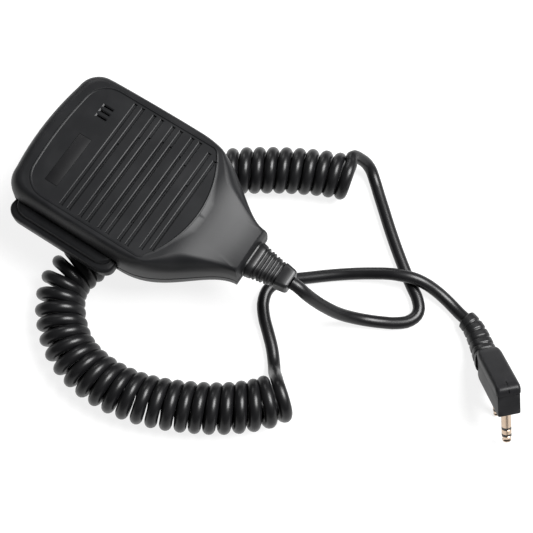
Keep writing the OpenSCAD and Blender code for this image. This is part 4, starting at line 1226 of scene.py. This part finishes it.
@dataclass
class StrainRelief:
    """The ribbed strain relief at the neck.

    Attributes:
        neck_y: End of the neck.
        axis_z: Height of its axis.
        length: Its length outside the neck.
        root: Width and height at the neck.
        tip: Width and height at its end.
        ribs: Distance of each rib's middle from the neck, in millimetres.
    """

    neck_y: float = -73.0 * MM
    axis_z: float = 27.9 * MM
    length: float = 16.0 * MM
    root: tuple[float, float] = (13.8 * MM, 8.4 * MM)
    tip: tuple[float, float] = (7.4 * MM, 7.2 * MM)
    ribs: tuple[float, ...] = (3.75, 5.35, 6.45, 8.0, 9.05, 10.45)

    def section(self, run: float, scale: float) -> list[Vector]:
        """The relief's section at a distance from the neck, made smaller by a scale."""
        t = max(0.0, run / self.length)
        width, height = blend(self.root[0], self.tip[0], t), blend(self.root[1], self.tip[1], t)
        width -= (1 - scale) * 6 * MM
        height -= (1 - scale) * 6 * MM
        radius = min(width, height) * blend(0.42, 0.16, ease((run - 10.5 * MM) / (1.5 * MM)))
        return [Vector((a, self.neck_y - run, self.axis_z + b)) for a, b in rounded(width, height, radius)]

    def build(self) -> bpy.types.Object:
        """The relief with its collar, six ribs, the middle four in two close pairs, and plain end."""
        deep, shallow = 0.78, 0.9
        stations = [(-3.2, 0.74), (-1.6, 0.74), (-1.6, 0.88), (-0.2, 0.88), (0.1, 0.84), (0.45, 0.84),
                    (0.55, 0.96), (0.75, 1.0), (2.6, 1.0), (2.85, 0.97), (2.95, deep)]
        for i, centre in enumerate(self.ribs):
            before, after = shallow if i in (2, 4) else deep, shallow if i in (1, 3) else deep
            stations += [(centre - 0.42, before), (centre - 0.34, 0.95), (centre - 0.14, 1.0),
                         (centre + 0.14, 1.0), (centre + 0.34, 0.95), (centre + 0.42, after)]
        stations += [(11.15, deep), (11.3, 0.95), (11.5, 1.0), (14.9, 1.0), (15.6, 0.97), (16.0, 0.88)]
        rings = [self.section(run * MM, scale) for run, scale in stations]
        relief = Loft("strain_relief_moulding", rings[0]).cap_first().through(rings[1:]).cap().done(38)
        RELIEF_RUBBER.dress(relief)
        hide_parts("strain_relief")
        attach(relief, "case")
        return relief


@dataclass
class SwivelClip:
    """The sprung belt clip that turns on a stud under the case.

    Attributes:
        hinge: Middle of the jaw's hinge.
        coil_radius: Radius of the spring's centre line.
        wire_radius: Radius of its wire.
        turns: Number of its turns.
        per_turn: Points in a turn.
    """

    hinge: tuple[float, float, float] = (-9.0 * MM, 0.0, 9.5 * MM)
    coil_radius: float = 1.9 * MM
    wire_radius: float = 0.42 * MM
    turns: int = 5
    per_turn: int = 16

    def spring(self) -> bpy.types.Object:
        """The clip's torsion spring, wound round the hinge pin, with its two legs."""
        step = 2 * self.wire_radius + 0.1 * MM
        half = self.turns * step / 2
        hinge = Vector(self.hinge)
        steps = self.turns * self.per_turn
        coil = []
        for k in range(steps + 1):
            angle = 2 * math.pi * k / self.per_turn
            coil.append(hinge + Vector((self.coil_radius * math.sin(angle), half - 2 * half * k / steps,
                                        self.coil_radius * math.cos(angle))))
        upper = [hinge + Vector((5.2 * MM, half, 4.4 * MM)), hinge + Vector((2.6 * MM, half, 3.2 * MM))]
        lower = [hinge + Vector((2.2 * MM, -half, 1.0 * MM)), hinge + Vector((5.2 * MM, -half, -3.6 * MM))]
        coil[-1] = hinge + Vector((0.2 * MM, -half, self.coil_radius))
        spring = wire("clip_spring_coil", [*upper, *coil, *lower], self.wire_radius, sides=3)
        PLATED.dress(spring)
        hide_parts("clip_spring")
        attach(spring, "clip")
        return spring

    def build(self) -> list[bpy.types.Object]:
        """The clip's plate, jaw and pin with rolled edges, its spring, stud and washer."""
        made = [self.spring()]
        for node, width, finish, body in (("clip_plate", 0.3 * MM, CLIP_STEEL, "clip"),
                                          ("clip_jaw", 0.3 * MM, CLIP_STEEL, "clip_jaw"),
                                          ("clip_pin", 0.25 * MM, PLATED, "clip"),
                                          ("swivel_stud", 0.25 * MM, BRASS, "case"),
                                          ("swivel_washer", 0.12 * MM, PLATED, "case")):
            piece = softened(node, width, 3)
            finish.dress(piece)
            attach(piece, body)
            made.append(piece)
        return made


# ---------------------------------------------------------------- the plug
@dataclass
class TwoPinPlug:
    """The right-angle plug: ribbed boot, housing, cap and two three-pole pins.

    Attributes:
        at: Where the boot meets the housing.
        heading: Direction of the housing on the table, in degrees.
        tilt: How far its far end is lifted, in degrees.
        length: Length of the housing.
        width: Its width.
        depth: Its thickness along the pins.
        cap_depth: Thickness of the cap.
        overhang: How far the cap stands over the housing.
        pitch: Distance between the pins.
        boot_steps: Rings along the boot.
        boot_rings: Grooves round the boot.
        boot_groove: Depth of these grooves.
    """

    at: tuple[float, float, float] = (.0188, -.1592, .0081)
    heading: float = -136.0
    tilt: float = 40.0
    length: float = 24.5 * MM
    width: float = 8.6 * MM
    depth: float = 12.2 * MM
    cap_depth: float = 3.4 * MM
    overhang: float = 0.35 * MM
    pitch: float = 11.0 * MM
    boot_steps: int = 72
    boot_rings: int = 5
    boot_groove: float = 0.45 * MM

    def frame_of(self) -> Matrix:
        """The plug's own frame: +X away from the cord along the housing, -Z along the pins."""
        return (Matrix.Translation(self.at) @ Matrix.Rotation(math.radians(self.heading), 4, "Z")
                @ Matrix.Rotation(math.radians(-self.tilt), 4, "Y"))

    def boot(self) -> bpy.types.Object:
        """The boot, a bent taper with rings that turns from the cord's round to the housing's section."""
        frame_now = self.frame_of()
        route = [Vector(p) for p in CurlyCord.TO_PLUG]
        start, lead = route[-1], (route[-1] - route[-2]).normalized()
        end, along = Vector(self.at), (frame_now.to_3x3() @ Vector((1, 0, 0))).normalized()
        third = (end - start).length / 3
        pulls = [start, start + lead * third, end - along * third, end]
        up_end = frame_now.to_3x3() @ Vector((0, 0, 1))
        rings = []
        for k in range(self.boot_steps + 1):
            t = k / self.boot_steps
            s = 1 - t
            centre = (pulls[0] * s ** 3 + pulls[1] * 3 * s * s * t + pulls[2] * 3 * s * t * t
                      + pulls[3] * t ** 3)
            ahead = ((pulls[1] - pulls[0]) * s * s + (pulls[2] - pulls[1]) * 2 * s * t
                     + (pulls[3] - pulls[2]) * t * t).normalized()
            side = ahead.cross(Vector((0, 0, 1)).lerp(up_end, t)).normalized()
            up = side.cross(ahead).normalized()
            wave = max(0.0, math.cos(2 * math.pi * self.boot_rings * t / 0.86)) ** 3
            groove = self.boot_groove * wave if 0.06 < t < 0.93 else 0.0
            radius = blend(3.6 * MM, 4.4 * MM, t) - groove - (0.3 * MM if t < 0.01 else 0.0)
            section = rounded(2 * radius, 2 * radius * blend(1.0, 1.08, t), radius * blend(0.98, 0.7, t),
                              8, 2)
            rings.append([centre + side * a + up * b for a, b in section])
        boot = Loft("plug_boot_moulding", rings[0]).cap_first().through(rings[1:]).cap().done(50)
        RELIEF_RUBBER.dress(boot)
        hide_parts("plug_boot")
        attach(boot, "case")
        return boot

    def housing(self) -> bpy.types.Object:
        """The housing under the cap, square at its far end, with a thin slot and a notch in each side."""
        bottom, top = -self.depth / 2, self.depth / 2 - self.cap_depth
        middle, height = (bottom + top) / 2, top - bottom
        width = self.width - 2 * self.overhang
        reach = self.length - self.overhang
        rings = []
        for x, shrink in ((-1.2, 0.75), (0.0, 0.55), (0.25, 0.2), (2.0, 0.0), (8.0, 0.0), (16.0, 0.0),
                          (23.3, 0.0), (23.95, 0.08), (24.15, 0.3)):
            section = rounded(width - 2 * shrink * MM, height - 2 * shrink * MM, 0.5 * MM, 4, 3)
            rings.append([Vector((min(x * MM, reach), a, middle + b)) for a, b in section])
        body = Loft("plug_housing", rings[0]).cap_first().through(rings[1:]).cap().done(40)
        tools = []
        for sign in (-1, 1):
            face = sign * width / 2
            tools.append(block("slot", (9.5 * MM, min(face, face - sign * 0.5 * MM), -1.5 * MM),
                               (21.5 * MM, max(face, face + sign * 0.5 * MM), -0.95 * MM)))
            tools.append(block("notch", (6.6 * MM, min(face, face - sign * 0.7 * MM), 0.6 * MM),
                               (7.8 * MM, max(face, face + sign * 0.5 * MM), 2.2 * MM)))
        combine(body, tools, "DIFFERENCE")
        return self.place(body, "plug_body")

    def cap(self) -> bpy.types.Object:
        """The cap over the housing, with soft long edges, a rounded far end and a fine centre line there."""
        low = self.depth / 2 - self.cap_depth
        rings = []
        for x, lower, narrow in ((-0.6, 1.5, 1.5), (-0.35, 0.9, 1.0), (0.1, 0.45, 0.6), (1.2, 0.15, 0.25),
                                 (3.5, 0.0, 0.0), (10.0, 0.0, 0.0), (17.0, 0.0, 0.0), (21.6, 0.0, 0.0),
                                 (22.7, 0.12, 0.0), (23.6, 0.5, 0.08), (24.15, 1.0, 0.3), (24.42, 1.7, 0.6),
                                 (24.5, 2.4, 0.9)):
            height = self.cap_depth - lower * MM
            section = rounded(self.width - 2 * narrow * MM, height, min(1.35 * MM, height * 0.48), 6, 3,
                              low_radius=0.25 * MM)
            rings.append([Vector((x * MM, a, low + height / 2 + b)) for a, b in section])
        cap = Loft("plug_cover", rings[0]).cap_first().through(rings[1:]).cap().done(40)
        seam = block("seam", (20.8 * MM, -0.16 * MM, low + 1.0 * MM), (26 * MM, 0.16 * MM, low + 6 * MM))
        inner = block("keep", (19 * MM, -1 * MM, low + 0.9 * MM),
                      (24.1 * MM, 1 * MM, low + self.cap_depth - 0.3 * MM))
        combine(seam, [inner], "DIFFERENCE")
        combine(cap, [seam], "DIFFERENCE")
        return self.place(cap, "plug_cap")

    def place(self, piece: bpy.types.Object, node: str) -> bpy.types.Object:
        """Sets a piece of the housing in the plug's place and gives it its finish."""
        shade(piece, 40)
        piece.data.transform(self.frame_of())
        PLUG_BLACK.dress(piece)
        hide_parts(node)
        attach(piece, "case")
        return piece

    def pin(self, kind: str, x: float, radius: float, length: float) -> list[bpy.types.Object]:
        """One pin: sleeve, ring and tip contacts with their insulators.

        Args:
            kind: Which pin, big or small.
            x: Its place along the housing.
            radius: Its radius.
            length: Its length.

        Returns:
            The four pieces.
        """
        place = self.frame_of()
        root = place @ Vector((x, 0, -self.depth / 2))
        axis = place.to_3x3() @ Vector((0, 0, -1))
        edge = 0.12 * MM
        core = radius * 0.5

        def tube(start: float, end: float) -> list[tuple[float, float]]:
            """Profile of a contact between two shares of the length."""
            a, b = start * length, end * length
            return [(core, a), (radius - edge, a), (radius, a + edge), (radius, b - edge), (radius - edge, b),
                    (core, b)]

        flange = [(core, 0), (radius + 0.55 * MM, 0), (radius + 0.55 * MM, 0.3 * MM),
                  (radius + 0.35 * MM, 0.5 * MM), (radius, 0.5 * MM), (radius, 0.52 * length - edge),
                  (radius - edge, 0.52 * length), (core, 0.52 * length)]
        tip = [(0, 0.78 * length), (radius - edge, 0.78 * length), (radius, 0.78 * length + edge),
               (radius, 0.81 * length), (radius * 0.74, 0.87 * length), (radius * 0.74, 0.885 * length),
               (radius * 0.93, 0.92 * length), (radius * 0.86, 0.955 * length),
               (radius * 0.55, 0.985 * length), (radius * 0.25, length), (0, length)]
        rings, rod, root_depth = radius * 0.985, core * 0.98, 2.4 * MM
        black = [(0, -root_depth), (rod, -root_depth), (rod, 0.521 * length), (rings, 0.521 * length),
                 (rings, 0.579 * length), (rod, 0.579 * length), (rod, 0.721 * length),
                 (rings, 0.721 * length), (rings, 0.779 * length), (0, 0.779 * length)]
        made = []
        for part, profile, finish in (("sleeve", flange, PALE_GOLD), ("ring", tube(0.58, 0.72), PALE_GOLD),
                                      ("tip", tip, PALE_GOLD), ("insulators", black, INSULATOR)):
            piece = spun(f"{kind}_pin_{part}_turned", profile, root, axis)
            finish.dress(piece)
            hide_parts(f"{kind}_pin_{part}")
            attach(piece, "case")
            made.append(piece)
        return made

    def build(self) -> list[bpy.types.Object]:
        """The whole plug."""
        far = self.length - 4.5 * MM
        return [self.boot(), self.housing(), self.cap(), *self.pin("big", far, 1.75 * MM, 14.5 * MM),
                *self.pin("small", far - self.pitch, 1.25 * MM, 11.5 * MM)]


# ---------------------------------------------------------------- what the case holds
@dataclass(frozen=True)
class Insides:
    """The pieces inside and on the case whose CAD shape is right: each keeps it, a few with eased edges.

    Attributes:
        eased: Node, width of its edges' rounding, finish and body of the pieces with eased edges.
        kept: Node and finish of the pieces that stay as they are.
    """

    eased: tuple[tuple[str, float, Finish, str], ...] = (
        ("jack_cover", 0.18 * MM, SOFT_RUBBER, "jack_flap"),
        ("case_screws", 0.1 * MM, SCREW_STEEL, "case"),
        ("earphone_jack", 0.12 * MM, PART_BLACK, "case"),
        ("ptt_plunger", 0.2 * MM, IVORY, "switch_plunger"),
    )
    kept: tuple[tuple[str, Finish], ...] = (
        ("grille_cloth", CLOTH), ("speaker_gasket", SOFT_RUBBER), ("speaker_frame", PLATED),
        ("speaker_yoke", PLATED), ("speaker_magnet", FERRITE), ("speaker_pole_plate", PLATED),
        ("speaker_cone", PAPER), ("speaker_surround", SOFT_RUBBER), ("voice_coil", COPPER),
        ("dust_cap", PAPER), ("mic_capsule", ALUMINIUM), ("mic_boot", SOFT_RUBBER), ("circuit_board", BOARD),
        ("board_parts", PART_BLACK), ("ptt_switch", PART_BLACK), ("ptt_pin", PLATED), ("inner_cable", JACKET),
        ("cord_clamp", PLATED), ("clamp_screws", SCREW_STEEL), ("inner_wires", WIRE_RED),
    )

    def build(self) -> list[bpy.types.Object]:
        """Dresses every piece.

        Returns:
            The new pieces with eased edges.
        """
        made = []
        for node, width, finish, body in self.eased:
            piece = softened(node, width, 2)
            finish.dress(piece)
            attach(piece, body)
            made.append(piece)
        for node, finish in self.kept:
            finish.dress(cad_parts[node])
        return made

    def dress_replaced(self) -> None:
        """Gives every CAD piece that has none of the finishes yet, such as the hidden ones, the moulded-parts
        finish.
        """
        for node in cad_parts.values():
            if not any(slot.material and slot.material.name in MATERIALS for slot in node.material_slots):
                PART_BLACK.dress(node)


# ---------------------------------------------------------------- studio
@dataclass
class Studio:
    """Floor, lights and camera.

    Attributes:
        target: What the camera looks at.
        distance: How far away it is.
        azimuth: Its azimuth in degrees; 0 looks along +Y.
        elevation: Its elevation in degrees.
        lens: Its focal length in millimetres on a 36 mm sensor.
        floor_grey: Colour of the floor.
        floor_glow: How much light the floor gives by itself.
        surroundings: Strength of the light from all round.
    """

    target: tuple[float, float, float] = (.0083, -.0734, 0.0)
    distance: float = 0.450
    azimuth: float = -57.1
    elevation: float = 71.0
    lens: float = 82.6
    floor_grey: float = 0.16
    floor_glow: float = 0.84
    surroundings: float = 0.09

    def camera(self) -> None:
        """Makes the camera."""
        a, e = math.radians(self.azimuth), math.radians(self.elevation)
        back = Vector((math.sin(a) * math.cos(e), -math.cos(a) * math.cos(e), math.sin(e)))
        data = bpy.data.cameras.new("camera")
        data.lens = self.lens
        data.sensor_width = 36.0
        data.clip_start = 0.01
        camera = bpy.data.objects.new("camera", data)
        bpy.context.collection.objects.link(camera)
        camera.rotation_mode = "QUATERNION"
        camera.location = Vector(self.target) + back * self.distance
        camera.rotation_quaternion = (-back).to_track_quat("-Z", "Y")
        bpy.context.scene.camera = camera

    def floor(self) -> None:
        """Makes the plain pale floor."""
        clear_bench()
        bpy.ops.mesh.primitive_plane_add(size=6.0, location=(0, 0, 0))
        floor = name_it(bpy.context.object, "floor")
        shader = Shader("pale floor")
        grey = self.floor_grey
        shader.set(Base_Color=(grey, grey, grey, 1.0), Roughness=0.9, Emission_Color=(1.0, 1.0, 1.0, 1.0),
                   Emission_Strength=self.floor_glow)
        floor.data.materials.append(shader.material)

    def lamp(self, name: str, towards: Point, far: float, size: float, power: float) -> None:
        """Adds a square soft light.

        Args:
            name: Its name.
            towards: Direction in which it stands, seen from the target.
            far: Its distance.
            size: Its side.
            power: Its power in watts.
        """
        data = bpy.data.lights.new(name, "AREA")
        data.shape = "SQUARE"
        data.size = size
        data.energy = power
        lamp = bpy.data.objects.new(name, data)
        bpy.context.collection.objects.link(lamp)
        way = Vector(towards).normalized()
        lamp.location = Vector(self.target) + way * far
        lamp.rotation_mode = "QUATERNION"
        lamp.rotation_quaternion = (-way).to_track_quat("-Z", "Y")

    def build(self) -> None:
        """Sets up floor, lights and surroundings."""
        self.floor()
        self.lamp("key softbox", (0.36, -0.42, 0.95), 0.9, 0.5, 25.0)
        self.lamp("back softbox", (0.9, 1.1, 0.8), 1.2, 0.5, 3.5)
        world = bpy.data.worlds.new("studio")
        world.use_nodes = True
        sky = world.node_tree.nodes["Background"]
        sky.inputs["Color"].default_value = (1, 1, 1, 1)
        sky.inputs["Strength"].default_value = self.surroundings
        bpy.context.scene.world = world
        bpy.context.scene.view_settings.view_transform = "Standard"


def report(pieces: Sequence[bpy.types.Object]) -> None:
    """Logs the name and size of each piece."""
    for piece in pieces:
        size = piece.dimensions / MM
        LOG.info("%s: %.1f x %.1f x %.1f mm", piece.name, *size)


def main() -> None:
    """Builds the microphone's pieces in order around the CAD frame."""
    logging.basicConfig(level=logging.INFO, format="%(name)s %(message)s")
    studio = Studio()
    studio.camera()
    cord = CurlyCord()
    cord_piece = cord.build()
    report([cord_piece])
    report(CaseShells().build())
    report([TalkBar().build(), StrainRelief().build()])
    report(SwivelClip().build())
    plug = TwoPinPlug().build()
    report(plug)
    insides = Insides()
    report(insides.build())
    insides.dress_replaced()
    studio.build()
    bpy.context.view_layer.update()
    clear_bench()


if __name__ == "__main__":
    main()
